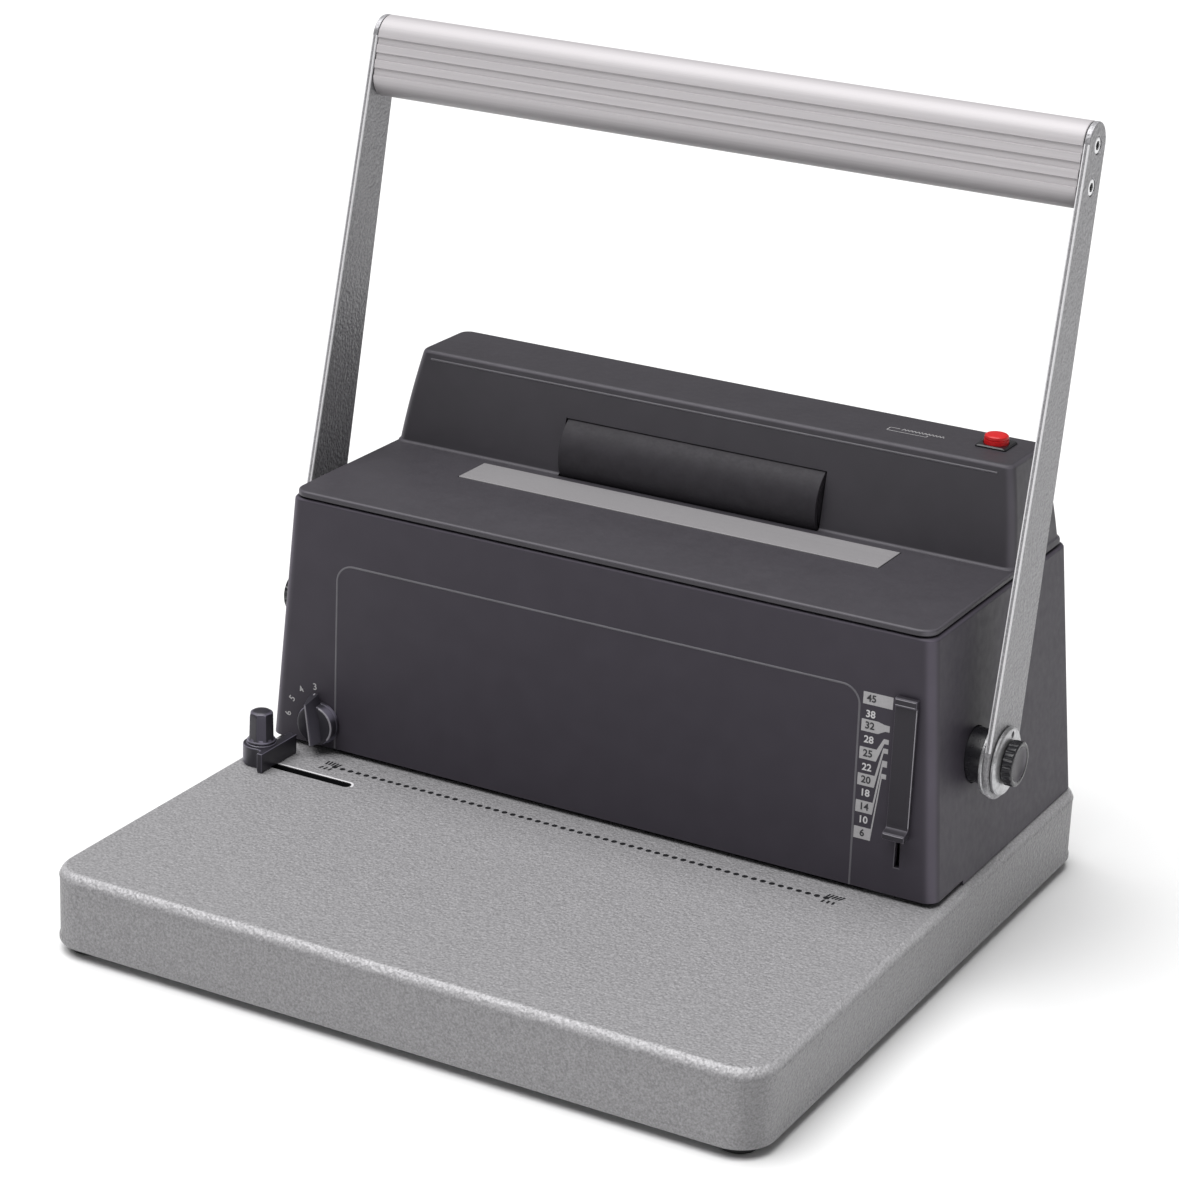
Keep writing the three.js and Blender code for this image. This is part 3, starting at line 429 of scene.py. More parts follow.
def turned(name, profile, centre, axis="Z", steps=64, radial=None):
    """A turned solid from (radius, place along the axis) points; radial scales its radius."""
    frames = {"X": ((0, 1, 0), (0, 0, 1), (1, 0, 0)), "Y": ((1, 0, 0), (0, 0, 1), (0, 1, 0)),
              "Z": ((1, 0, 0), (0, 1, 0), (0, 0, 1))}
    u, v, w = (Vector(a) for a in frames[axis])
    shape = radial or (lambda angle, place: 1.0)
    rings = []
    for radius, along in profile:
        ring = []
        for i in range(steps):
            angle = 2 * math.pi * i / steps
            reach = max(radius, 0.001) * shape(angle, along)
            spoke = u * reach * math.cos(angle) + v * reach * math.sin(angle)
            ring.append(Vector(centre) + spoke + w * along)
        rings.append(ring)
    hollow = profile[0] == profile[-1]
    return skin(name, rings[:-1] if hollow else rings, closed=hollow)


def rod(name, radius, start, end, centre, axis, steps):
    return turned(name, [(0, start), (radius, start), (radius, end), (0, end)], centre, axis, steps)


def unit(value):
    return min(1.0, max(0.0, value))


def bake(obj):
    """Applies the modifiers."""
    shown = obj.evaluated_get(bpy.context.evaluated_depsgraph_get())
    mesh = bpy.data.meshes.new_from_object(shown)
    obj.modifiers.clear()
    obj.data = mesh
    return obj


def combine(obj, operation, others):
    for other in others:
        modifier = obj.modifiers.new("combine", "BOOLEAN")
        modifier.operation = operation
        modifier.solver = "EXACT"
        modifier.object = other
        bake(obj)
        bpy.data.objects.remove(other)
    return obj


def cut(obj, *others):
    return combine(obj, "DIFFERENCE", others)


def join(obj, *others):
    return combine(obj, "UNION", others)


def together(name, parts):
    """Separate solids in one mesh."""
    work = bmesh.new()
    for part in parts:
        work.from_mesh(part.data)
        bpy.data.objects.remove(part)
    mesh = bpy.data.meshes.new(name)
    work.to_mesh(mesh)
    work.free()
    return link(name, mesh)


def soften(obj, width, segments=2, angle=32):
    modifier = obj.modifiers.new("edges", "BEVEL")
    modifier.width = width * MM
    modifier.segments = segments
    modifier.limit_method = "ANGLE"
    modifier.angle_limit = math.radians(angle)
    modifier.use_clamp_overlap = True
    return bake(obj)


def mirror_x(obj, name):
    twin = obj.copy()
    twin.data = obj.data.copy()
    twin.name = name
    twin.data.transform(Matrix.Scale(-1, 4, (1, 0, 0)))
    twin.data.flip_normals()
    bpy.context.scene.collection.objects.link(twin)
    return twin


def place(obj, material, body, slot, *nodes, angle=30):
    """Gives a finished piece its material, shading, body and the CAD nodes that it stands for.

    Without a material of its own, it gets the material of its slot.
    """
    obj.data.materials.clear()
    obj.data.materials.append(material or MATERIALS[slot])
    obj.data.shade_smooth()
    obj.data.set_sharp_from_angle(angle=math.radians(angle))
    weighted = obj.modifiers.new("face_weights", "WEIGHTED_NORMAL")
    weighted.keep_sharp = True
    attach(obj, body)
    if nodes:
        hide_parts(*nodes)
    return obj


def fillet(top, edge, steps=5):
    """(height, inset) pairs that round over an upper edge."""
    turns = [math.radians(90 * i / steps) for i in range(steps + 1)]
    return [(top - edge * (1 - math.sin(t)), edge * (1 - math.cos(t))) for t in turns]


def place_pair(right, material, body, slot, node=None, angle=30):
    """Places a piece of the right side and its twin on the left; {side} in body and node names the side."""
    left = mirror_x(right, right.name.replace("right", "left"))
    for side, obj in (("right", right), ("left", left)):
        nodes = [node.format(side=side)] if node else []
        place(obj, material, body.format(side=side), slot, *nodes, angle=angle)


# ---------- base ----------
def base_ring(inset, z):
    half_x, half_y = BASE["width"] / 2 - inset, BASE["depth"] / 2 - inset
    radius = BASE["corner"] - inset
    return level(rounded(BASE["x"] - half_x, -half_y, BASE["x"] + half_x, half_y, radius, 12), z)


def base_tray():
    tray = skin("paper_table_tray", [base_ring(inset, z) for inset, z in BASE_PROFILE])
    wall = BASE["wall"]
    cavity = skin("cavity", [base_ring(wall, 0), base_ring(wall, TABLE - wall)])
    die_slot = block("die_slot", -158.3, 158.3, 7.7, 26.3, 40, TABLE + 1)
    near, far, end = STOP["slot_near"], STOP["slot_far"], STOP["slot_end"]
    round_end = (far - near) * 0.49
    stop_slot = slab("stop_slot", rounded(STOP["x"] - 3, near, end, far, round_end, 8), 40, TABLE + 1)
    mouth = block("mouth", -206, -194, -21, 51, 8.5, 35)
    cut(tray, cavity, die_slot, stop_slot, mouth)
    place(tray, None, "frame", "silver_coat", "base_tray", angle=38)

    # A painted highlight along the slot's far edge.
    hub_x, hub_y, start = end - round_end, far - round_end, STOP["x"] + 4
    edge = arc(hub_x, hub_y, round_end + 1.3, 90, -15, 12) + arc(hub_x, hub_y, round_end + 0.1, -15, 90, 12)
    edge += [(start, far + 0.1), (start, far + 1.3)]
    place(slab("stop_slot_edge_highlight", edge, TABLE - 0.3, TABLE + PRINT), EDGE_HIGHLIGHT, "frame", "silver_coat")
    # Painted shade: a black lining on the walls inside the slot.
    lining = arc(hub_x, hub_y, round_end - 0.02, -90, 90, 16) + [(start, far - 0.02), (start, far - 0.3)]
    lining += arc(hub_x, hub_y, round_end - 0.3, 90, -90, 16)
    place(slab("stop_slot_painted_shade", lining, TABLE - 2.9, TABLE - 0.25), BLACK_INK_AND_SHADE, "frame", "black_plastic")


def feet():
    for depth, sign_y in (("front", -1), ("rear", 1)):
        for side, sign_x in (("left", -1), ("right", 1)):
            radius = FOOT["radius"]
            profile = [(0, 0), (radius - 2.2, 0), (radius - 1.1, 0.35), (radius - 0.4, 1.1), (radius, 2.4),
                       (radius, 5.7), (0, 5.7)]
            foot = turned(f"rubber_foot_{depth}_{side}", profile,
                          (BASE["x"] + sign_x * FOOT["x"], sign_y * FOOT["y"], 0), "Z", 48)
            place(foot, None, "frame", "rubber", f"foot_{depth}_{side}")


def stroke(name, x0, y0, x1, y1, width, z):
    """A printed line on a level surface."""
    along = Vector((x1 - x0, y1 - y0)).normalized()
    off = Vector((-along.y, along.x)) * width / 2
    outline = [(x0 - off.x, y0 - off.y), (x1 - off.x, y1 - off.y),
               (x1 + off.x, y1 + off.y), (x0 + off.x, y0 + off.y)]
    return slab(name, outline, z, z + PRINT)


def table_marks():
    first = -(HOLES["count"] - 1) / 2 * HOLES["pitch"]
    low = TABLE - 0.02
    marks = []
    for i in range(HOLES["count"]):
        outline = arc(first + i * HOLES["pitch"], HOLES["y"], HOLES["radius"], 0, 345, 23)
        marks.append(slab("mark", outline, low, TABLE + PRINT))
    for side in (-1, 1):
        for i in range(5):
            x = side * (146.6 + 1.75 * i)
            marks.append(stroke("tick", x, -11.4, x + 0.9 + side * 0.3 * i, -7.0, 1.15, low))
        for i in range(3):
            x = side * (147.6 + 2.7 * i)
            marks.append(stroke("tick", x, -14.4, x - 0.5 + side * 0.3 * i, -17.6, 1.3, low))
    place(together("hole_marks", marks), BLACK_INK_AND_SHADE, "frame", "black_plastic")


# ---------- housing ----------
def housing_ring(z, inset=0.0, steps=10):
    h = HOUSING
    rise = z - h["bottom"]
    half = h["half"] - h["side_draft"] * rise - inset
    front = h["front"] + h["front_draft"] * rise + inset
    rear = h["rear"] - h["rear_draft"] * rise - inset
    return level(rounded(-half, front, half, rear, h["corner"] - 0.5 * inset, steps), z)


def front_y(z):
    return HOUSING["front"] + HOUSING["front_draft"] * (z - HOUSING["bottom"])


def rear_y(z):
    return HOUSING["rear"] - HOUSING["rear_draft"] * (z - HOUSING["bottom"])


def housing_solid(name):
    h = HOUSING
    rings = [housing_ring(h["sill"])] + [housing_ring(z, inset) for z, inset in fillet(h["top"], h["edge"])]
    shell = skin(name, rings)
    hollow = skin("hollow", [housing_ring(h["sill"] - 2, h["wall"]), housing_ring(h["top"] + 2, h["wall"])])
    return cut(shell, hollow)


def rear_window(name, margin):
    half, low, high = REAR_WINDOW["half"], REAR_WINDOW["low"], REAR_WINDOW["high"]
    return block(name, -half - margin, half + margin, 150, 210, low - margin, high + margin)


def housing():
    h = HOUSING
    shell = housing_solid("outer_housing")
    throat = block("throat", -210, 210, 0, h["throat_depth"], 40, h["bottom"])
    shafts = rod("shafts", 14.9, -210, 210, PIVOT, "X", 64)
    knob = rod("knob", 3.4, 0, 10, (MARGIN["x"], 0, MARGIN["z"]), "Y", 32)
    slot_x, slot_half = GAUGE["slot_x"], GAUGE["slot_half"]
    slot = block("slot", slot_x - slot_half, slot_x + slot_half, 0, 10, GAUGE["slot_low"], GAUGE["slot_high"])
    cut(shell, throat, shafts, knob, slot, rear_window("window", 0.4))
    soften(shell, 0.35, 2, 40)
    place(shell, None, "frame", "dark_plastic", "housing_shell")

    # Painted highlight: light strips along the left and lower rim of the gauge slot.
    rim_left, rim_low = slot_x - slot_half - 0.4, GAUGE["slot_low"] - 0.4
    slot_rim = [
        block("rim", rim_left, slot_x - slot_half, front_y(70) - 0.16, front_y(70) + 0.3, rim_low, 82),
        block("rim", rim_left, slot_x + slot_half + 0.4, front_y(65) - 0.16, front_y(65) + 0.3,
              rim_low, GAUGE["slot_low"]),
    ]
    place(together("gauge_slot_rim_highlight", slot_rim), LINE_HIGHLIGHT, "frame", "dark_plastic")


def upright(obj, back=0.0):
    """Stands a level slab up: its Y turns to Z, and it moves back by metres."""
    obj.data.transform(Matrix(((1, 0, 0, 0), (0, 0, 1, back), (0, 1, 0, 0), (0, 0, 0, 1))))
    obj.data.flip_normals()
    return obj


def rear_panel():
    panel = combine(housing_solid("rear_panel"), "INTERSECT", [rear_window("window", 0)])
    v = LOUVRES
    louvres = []
    for i in range(v["count"]):
        x = v["first"] + v["pitch"] * i
        outline = rounded(x - v["half"], v["low"], x + v["half"], v["high"], v["corner"], 5)
        louvres.append(upright(slab("louvre", outline, 0, 60), 0.15))
    reach, tall = INLET["half"] + 0.4, INLET["tall"] + 0.4
    x, z = INLET["x"], INLET["z"]
    inlet = block("inlet", x - reach, x + reach, 150, 210, z - tall, z + tall)
    cut(panel, together("louvres", louvres), inlet)
    soften(panel, 0.4, 2, 40)
    place(panel, None, "frame", "dark_plastic", "rear_cover")

    profile = [(0, 0.9), (1.6, 0.9), (1.6, 1.7), (3.0, 1.6), (3.6, 1.0), (3.8, 0), (0, 0)]
    screws = [turned("screw", profile, (x, rear_y(z) - 0.05, z), "Y", 24)
              for x in (-140, 0, 140) for z in (70, 170)]
    place(together("rear_panel_screws", screws), None, "frame", "steel")


def power_inlet():
    x, z, half, tall = INLET["x"], INLET["z"], INLET["half"], INLET["tall"]
    body = soften(block("inlet_housing", x - half, x + half, 166.5, 191.5, z - tall, z + tall), 1.2, 3)
    socket = upright(slab("socket", rounded(x - 11.6, z - 7.1, x + 11.6, z + 7.1, 2.5, 6), 171.5, 193))
    cut(body, socket)
    place(body, None, "frame", "black_plastic", "power_inlet")
    pins = [soften(block("pin", x - 1 + dx, x + 1 + dx, 170.6, 184.5, z - 2 + dz, z + 2 + dz), 0.4)
            for dx, dz in ((-7, -1.5), (0, 1.8), (7, -1.5))]
    place(together("inlet_contacts", pins), None, "frame", "steel")


def bead(name, path, width, proud, y_at):
    """A thin half-round line along (x, z) points on an upright face."""
    rings = []
    for i, (x, z) in enumerate(path):
        before, after = path[max(i - 1, 0)], path[min(i + 1, len(path) - 1)]
        along = Vector((after[0] - before[0], after[1] - before[1])).normalized()
        across = Vector((-along.y, along.x))
        ring = []
        for k in range(7):
            turn = math.radians(180 * k / 6)
            off = across * math.cos(turn) * width
            ring.append((x + off.x, y_at(z) + 0.05 - (proud + 0.05) * math.sin(turn), z + off.y))
        rings.append(ring)
    return skin(name, rings)


def front_outline():
    p = PANEL
    left, right, top, corner = p["left"], p["right"], p["top"], p["corner"]
    path = [(left, HOUSING["bottom"] + 0.2)]
    path += arc(left + corner, top - corner, corner, 180, 90, 12)
    path += arc(right - corner, top - corner, corner, 90, 0, 12)
    path.append((p["foot_right"], HOUSING["bottom"] + 0.2))
    # The moulded line is a real bead; its light colour is a painted highlight.
    line = bead("front_outline", path, p["half"], p["proud"], front_y)
    place(line, LINE_HIGHLIGHT, "frame", "dark_plastic", angle=60)


def upright_print(name, text, x, z, size, weight, turn=0.0):
    """Digits on the front face, centred at x, z."""
    curve = bpy.data.curves.new(name, "FONT")
    curve.body = text
    curve.align_x = "CENTER"
    curve.align_y = "CENTER"
    curve.size = size * MM
    curve.extrude = PRINT / 2 * MM
    curve.offset = weight * MM
    curve.resolution_u = 4
    source = link(name, curve)
    bpy.context.view_layer.update()
    mesh = bpy.data.meshes.new_from_object(source.evaluated_get(bpy.context.evaluated_depsgraph_get()))
    bpy.data.objects.remove(source)
    spot = Matrix.Translation(Vector((x, front_y(z) - 2.5 * PRINT, z)) * MM)
    tilt = Matrix.Rotation(math.radians(-turn), 4, "Y")
    mesh.transform(spot @ tilt @ Matrix.Rotation(math.radians(90), 4, "X"))
    return link(name, mesh)


def upright_patch(name, outline, lift):
    """A printed patch on the front face from (x, z) points."""
    rings = [[(x, front_y(z) - lift - d, z) for x, z in outline] for d in (0, PRINT)]
    return skin(name, rings)


def size_scale():
    s = SCALE
    patches, light_digits, dark_digits = [], [], []
    for label, z, boxed, leads_to in SCALE_ROWS:
        low, high = z - s["half"], z + s["half"]
        if label == "45":
            patches.append(upright_patch("patch", [(s["left"], low), (s["plate"] + 0.8, low),
                                                   (s["plate"] + 0.8, high), (s["left"], high)], 0.02))
        elif boxed:
            tip = 1.7 if label in ("32", "14") else 1.3
            outline = [(s["left"], low), (s["right"], low), (s["plate"] - 2.3, leads_to - tip),
                       (s["plate"], leads_to - tip), (s["plate"], leads_to + tip),
                       (s["plate"] - 2.7, leads_to + tip), (s["right"], high), (s["left"], high)]
            patches.append(upright_patch("patch", outline, 0.02))
        digits = dark_digits if boxed else light_digits
        digits.append(upright_print("digits", label, (s["left"] + s["right"]) / 2, z, 5.3, 0.13))
    place(together("size_scale_boxes", patches), INK_LIGHT, "frame", "silver_coat")
    place(together("size_scale_dark_digits", dark_digits), INK_DARK, "frame", "black_plastic")
    place(together("size_scale_light_digits", light_digits), INK_WHITE, "frame", "silver_coat")


def margin_digits():
    digits = []
    for label, angle in (("3", 98), ("4", 125.6), ("5", 151), ("6", 179)):
        turn = math.radians(angle)
        x, z = MARGIN["x"] - 1.2 + 19.8 * math.cos(turn), MARGIN["z"] + 19.8 * math.sin(turn)
        digits.append(upright_print("digit", label, x, z, 5.4, 0.05, angle - 90))
    place(together("margin_digits", digits), INK_GREY, "frame", "silver_coat")


# ---------- top cover ----------
def tower_ring(z, inset=0.0, flare=0.0):
    t = (z - LID["top"]) / (TOWER["top"] - LID["top"])
    half, front, rear = (a + (b - a) * t for a, b in zip(TOWER["foot"], TOWER["head"]))
    half += TOWER["bulge"] * 4 * max(0.0, t) * (1 - t)
    grow = flare - inset
    corner = TOWER["corner"] + 0.4 * grow
    side = min(grow, 0.6)
    return level(rounded(-half - side, front - grow, half + side, rear + side, corner, 10), z)


def plate_ring(plate, z, inset, steps):
    """A rounded plate's outline, drawn in by inset."""
    half, front, rear = plate["half"] - inset, plate["front"] + inset, plate["rear"] - inset
    return level(rounded(-half, front, half, rear, plate["corner"] - inset, steps), z)


def top_cover():
    lid = skin("lid_and_tower", [plate_ring(LID, z, inset, 12) for z, inset in
                                 [(LID["bottom"], 0)] + fillet(LID["top"], LID["edge"])])

    rings = [tower_ring(LID["bottom"] + 0.4, flare=1.6), tower_ring(LID["top"] + 0.05, flare=1.6),
             tower_ring(LID["top"] + 0.35, flare=0.8), tower_ring(LID["top"] + 0.9, flare=0.25),
             tower_ring(LID["top"] + 1.6)]
    rings += [tower_ring(200 + 5 * i) for i in range(9)]
    rings += [tower_ring(z, inset) for z, inset in fillet(TOWER["top"], TOWER["edge"])]
    tower = skin("tower", rings)

    lip = skin("lip", [plate_ring(LIP, z, 0, 8) for z in (LIP["bottom"], LID["bottom"] + 0.3)])
    lip_hollow = skin("lip_hollow", [plate_ring(LIP, z, LIP["wall"], 8)
                                     for z in (LIP["bottom"] - 1, LID["bottom"])])
    join(lid, cut(lip, lip_hollow), tower)

    ceiling = TOWER["top"] - TOWER["wall"]
    cavity = skin("cavity", [
        level(rounded(-182.4, 111.2, 182.4, 172.4, 3.5, 6), LIP["bottom"] - 1),
        level(rounded(-183, 114.5, 183, 168, 3.5, 6), 200),
        level(rounded(-174.5, 120.6, 174.5, 163, 3.5, 6), ceiling),
    ])
    gap = ROLLER["gap"]
    window = rod("window", ROLLER["radius"] + gap, ROLLER["left"] - gap, ROLLER["right"] + gap,
                 (0, ROLLER["y"], ROLLER["z"]), "X", 96)
    pocket_half = STRIP["half"] + 0.5
    pocket = block("pocket", STRIP["x"] - pocket_half, STRIP["x"] + pocket_half, STRIP["front"] - 0.4,
                   STRIP["rear"] + 0.8, LID["top"] - STRIP["recess"], LID["top"] + 1)
    hole = rod("hole", BUTTON["radius"] + 0.6, 240, 250, (BUTTON["x"], BUTTON["y"], 0), "Z", 48)
    cut(lid, cavity, window, pocket, hole)
    place(lid, None, "frame", "lid_plastic", "top_cover", angle=28)

    slope = (TOWER["head"][1] - TOWER["foot"][1]) / (TOWER["top"] - LID["top"])
    height = TOWER["top"] - 4.6
    # The line is a real bead; its light colour is a painted highlight.
    line = bead("tower_front_line", [(x, height) for x in (-170, -60, 60, 170)], 0.6, 0.35,
                lambda z: TOWER["foot"][1] + slope * (z - LID["top"]))
    place(line, LINE_HIGHLIGHT, "frame", "lid_plastic", angle=60)


def strip():
    s = STRIP
    plate = block("coil_strip_plate", s["x"] - s["half"], s["x"] + s["half"], s["front"], s["rear"],
                  LID["top"] - s["recess"] + 0.1, s["top"])
    place(soften(plate, 0.35, 3), STRIP_METAL, "frame", "brushed_aluminium", "coil_channel_strip")


def roller():
    r = ROLLER
    bore, radius, left, right = r["bore"], r["radius"], r["left"], r["right"]
    groove_in, groove_out = 19, 20.5  # a ring groove in each end face
    profile = [
        (bore, left), (groove_in, left), (groove_in, left + 1.2), (groove_out, left + 1.2), (groove_out, left),
        (radius - 0.9, left), (radius - 0.25, left + 0.25), (radius, left + 0.9),
        (radius, right - 0.9), (radius - 0.25, right - 0.25), (radius - 0.9, right),
        (groove_out, right), (groove_out, right - 1.2), (groove_in, right - 1.2), (groove_in, right),
        (bore, right), (bore, left),
    ]
    tube = turned("soft_roller", profile, (0, r["y"], r["z"]), "X", 96)
    place(tube, ROLLER_COAT, "coil_roller", "rubber", "coil_roller")


def button():
    b = BUTTON
    x, y, half = b["x"], b["y"], b["bezel"] / 2
    outline = rounded(x - half, y - half, x + half, y + half, 1.4, 6)
    inner = rounded(x - half + 0.8, y - half + 0.8, x + half - 0.8, y + half - 0.8, 1.2, 6)
    base = TOWER["top"] + 0.1
    plate = skin("button_surround", [level(outline, base), level(outline, base + 0.7),
                                     level(inner, base + 1.25)])
    cut(plate, rod("hole", b["radius"] + 0.4, -2, 4, (x, y, base), "Z", 48))
    place(plate, None, "frame", "black_plastic", "button_bezel")
    r = b["radius"]
    cap = turned("red_button", [
        (0, 242.6), (2, 242.6), (2, 245.95), (r, 245.95), (r, 249.3), (r - 0.1, 249.6),
        (r - 0.45, 249.7), (r - 0.45, 249.95), (r - 0.15, 250.1), (r - 0.1, 250.6),
        (r - 0.35, 251.5), (r - 0.95, 252.0), (r - 1.9, 252.2), (0, 252.2),
    ], (x, y, 0), "Z", 64)
    place(cap, None, "push_button", "red_plastic", "push_button")


def pictogram():
    """A sheet with a coil along its edge, printed beside the button."""
    z = TOWER["top"] - 0.02
    corners = ((104, 142.2), (98.4, 142.2), (98.4, 137.2), (121, 137.2), (121, 139.6))
    lines = [stroke("edge", *a, *b, 0.5, z) for a, b in zip(corners, corners[1:])]
    for i in range(12):
        x = 105.5 + 2 * i
        lines.append(stroke("turn", x, 140.6, x + 0.9, 143.4, 0.55, z))
        lines.append(stroke("turn", x + 0.9, 143.4, x + 2.0, 140.6, 0.35, z))
    place(together("coil_pictogram", lines), INK_GREY, "frame", "silver_coat")


# ---------- handle ----------
def on_arm(obj):
    """From the arm's own axes (across, along, outward) to its place on the pivot."""
    lean = math.radians(ARM["lean"])
    turn = Matrix((
        (0, 0, 1, 0),
        (math.cos(lean), math.sin(lean), 0, PIVOT.y * MM),
        (-math.sin(lean), math.cos(lean), 0, PIVOT.z * MM),
        (0, 0, 0, 1),
    ))
    obj.data.transform(turn)
    return obj


def arm_outline(grow=0.0):
    foot, head = ARM["foot"] + grow, ARM["head"] + grow
    centre = ARM["length"] - ARM["head"]
    return arc(0, 0, foot, 180, 360, 40) + arc(0, centre, head, 0, 180, 32)


def arm():
    def at(outline, outward):
        return [(x, y, outward - ARM["splay"] * y) for x, y in outline]

    outer, inner = ARM["outer"], ARM["outer"] - ARM["thick"]
    chamfer = ((-0.8, 0), (-0.23, 0.23), (0, 0.8))  # (growth of the outline, depth from the face)
    rings = [at(arm_outline(grow), inner + depth) for grow, depth in chamfer]
    rings += [at(arm_outline(grow), outer - depth) for grow, depth in reversed(chamfer)]
    plate = skin("side_arm_right", rings)
    tools = [rod("hole", 6.4, 200, 222, (0, 0, 0), "Z", 48)]
    for height in SCREW["heights"]:
        face = ARM["outer"] - ARM["splay"] * height
        head = SCREW["head"]
        tools.append(turned("sink", [
            (0, face - 6), (2.8, face - 6), (2.8, face - 2.5), (head + 0.3, face - 2.2),
            (head + 0.55, face + 2), (0, face + 2),
        ], (SCREW["offset"], height, 0), "Z", 40))
    cut(plate, *tools)
    on_arm(plate)
    place_pair(plate, ARM_COAT, "handle", "silver_coat", "handle_arm_{side}")

    # Painted highlight: light strips on the chamfers along the front edge of the arm.
    edges = []
    for face, way in ((outer, 1), (inner, -1)):
        rings = []
        for height, reach in ((6, ARM["foot"] * 0.9918), (ARM["length"] - ARM["head"], ARM["head"])):
            out = face - ARM["splay"] * height
            rings.append([(x - reach, height, out + way * lift)
                          for x, lift in ((0.85, 0.03), (0.18, -0.18), (-0.03, -0.85), (0.4, -0.5))])
        edges.append(skin("edge", rings))
    place_pair(on_arm(together("arm_edge_right", edges)), EDGE_HIGHLIGHT, "handle", "silver_coat")


def grip_screws():
    head = SCREW["head"]
    for level_name, height in zip(("lower", "upper"), SCREW["heights"]):
        face = ARM["outer"] - ARM["splay"] * height - 0.25
        centre = (SCREW["offset"], height, 0)
        screw = turned(f"socket_screw_{level_name}_right", [
            (0, face - 24), (2.4, face - 24), (2.4, face - 1.8), (head - 0.1, face - 1.8), (head, face - 1.5),
            (head, face - 0.5), (head - 0.2, face - 0.15), (head - 0.6, face), (0, face),
        ], centre, "Z", 48)
        profile = [(0, face - 1.6), (2.5, face - 1.4), (2.6, face + 1), (0, face + 1)]
        socket = turned("socket", profile, centre, "Z", 6)
        cut(screw, socket)
        on_arm(screw)
        # Painted shade: a black hex plug at the bottom of each socket.
        floor = on_arm(turned(f"socket_floor_{level_name}_right", [
            (0, face - 1.55), (2.35, face - 1.35), (2.45, face - 0.5), (2.2, face - 0.5),
            (1.9, face - 1.2), (0, face - 1.2),
        ], centre, "Z", 6))
        place_pair(floor, BLACK_INK_AND_SHADE, "handle", "steel")
        place_pair(screw, EDGE_METAL, "handle", "steel", f"grip_screw_{level_name}_{{side}}")


def grip():
    half = GRIP["depth"] / 2
    depth = GRIP["groove"]
    outline = arc(0, GRIP["low"] + half, half, 180, 360, 32) + arc(0, GRIP["high"] - half, half, 0, 180, 32)
    ends = GRIP["half"]
    middle = (GRIP["low"] + GRIP["high"]) / 2
    trim = [[(x * s, (y - middle) * s + middle, z) for x, y in outline] for s, z in
            ((0.985, -ends), (1, -ends + 0.35), (1, ends - 0.35), (0.985, ends))]
    bar = skin("aluminium_grip", trim)
    tools = []
    for low, high in GROOVES:
        for side in (-1, 1):
            floor, reach = side * (half - depth), side * (half + 2)
            profile = [(floor, low + 0.3), (floor, high - 0.3), (reach, high + 0.4), (reach, low - 0.4)]
            tools.append(slab("groove", profile, -210, 210))
    for height in SCREW["heights"]:
        for side in (-1, 1):
            start, end = sorted((side * (ends - 26), side * (ends + 1)))
            tools.append(rod("port", 2.8, start, end, (SCREW["offset"], height, 0), "Z", 24))
    cut(bar, *tools)
    on_arm(bar)
    place(bar, None, "handle", "brushed_aluminium", "grip_bar", angle=24)


def hub():
    collar = turned("bearing_ring_right", [
        (10.35, 174), (14.4, 174), (14.4, 196), (13.9, 201.9), (13.3, 202.5), (10.35, 202.5), (10.35, 174),
    ], PIVOT, "X", 80)
    flange = turned("cast_flange_right", [
        (6.4, 203.2), (16.5, 203.2), (18.3, 203.5), (19.2, 204.2), (19.2, 205.2), (18.7, 206.0),
        (6.4, 206.0), (6.4, 203.2),
    ], PIVOT, "X", 80)
    boss = turned("cast_boss_right", [
        (6.4, 210.0), (17.4, 210.0), (18.0, 210.4), (18.0, 211.3), (17.2, 212.2), (15.8, 212.65), (13.4, 212.7),
        (6.4, 212.7), (6.4, 210.0),
    ], PIVOT, "X", 80)
    lean, reach = math.radians(ARM["lean"]), 14.2  # the small round mark above the knob
    mark = Vector((0, PIVOT.y + reach * math.sin(lean), PIVOT.z + reach * math.cos(lean)))
    cut(boss, turned("mark", [(0, 211.2), (1.7, 211.2), (1.9, 214), (0, 214)], mark, "X", 24))
    place_pair(collar, None, "frame", "black_plastic", "bearing_collar_{side}")
    place_pair(flange, None, "handle", "cast_silver", "hub_flange_{side}")
    place_pair(boss, None, "handle", "cast_silver", "hub_boss_{side}")


def clamp_knobs():
    ribs, depth = 18, 0.055
    start, end, fade = 213.4, 218.6, 0.6  # where the ribs run along the axis

    def ribbed(angle, along):
        wave = 0.5 + 0.5 * math.cos(ribs * angle)
        side = unit((along - start) / fade) * unit((end - along) / fade)
        return 1 - depth * (1 - wave) ** 3 * side

    profile = [
        (6.4, 215.8), (6.4, 213.0), (11.1, 213.0), (11.7, 213.5), (11.9, 214.1), (11.9, 217.9), (11.7, 218.5),
        (11.1, 218.9), (10.4, 219.0), (9.4, 218.8), (8.7, 218.1), (7.0, 217.3), (4.0, 216.7), (0, 216.5),
    ]
    knob = turned("knurled_knob_right", [(0, 215.8)] + profile, PIVOT, "X", 216, ribbed)
    dish = turned("knob_dish_right", [
        (0, 216.62), (4.0, 216.82), (7.0, 217.42), (8.6, 218.15), (9.0, 218.7), (8.4, 218.2),
        (7.0, 217.5), (4.0, 216.9), (0, 216.7),
    ], PIVOT, "X", 72)
    # Painted highlight: a light ring on the rim of the knob's end.
    rim = turned("knob_rim_right", [
        (9.8, 218.55), (10.4, 218.98), (11.0, 218.85), (10.4, 218.5), (9.8, 218.55),
    ], PIVOT, "X", 96)
    body = "clamp_knob_{side}"
    place_pair(knob, None, body, "black_plastic", "clamp_knob_{side}", angle=45)
    place_pair(dish, KNOB_DISH, body, "black_plastic", angle=60)
    place_pair(rim, RIM_HIGHLIGHT, body, "black_plastic", angle=60)


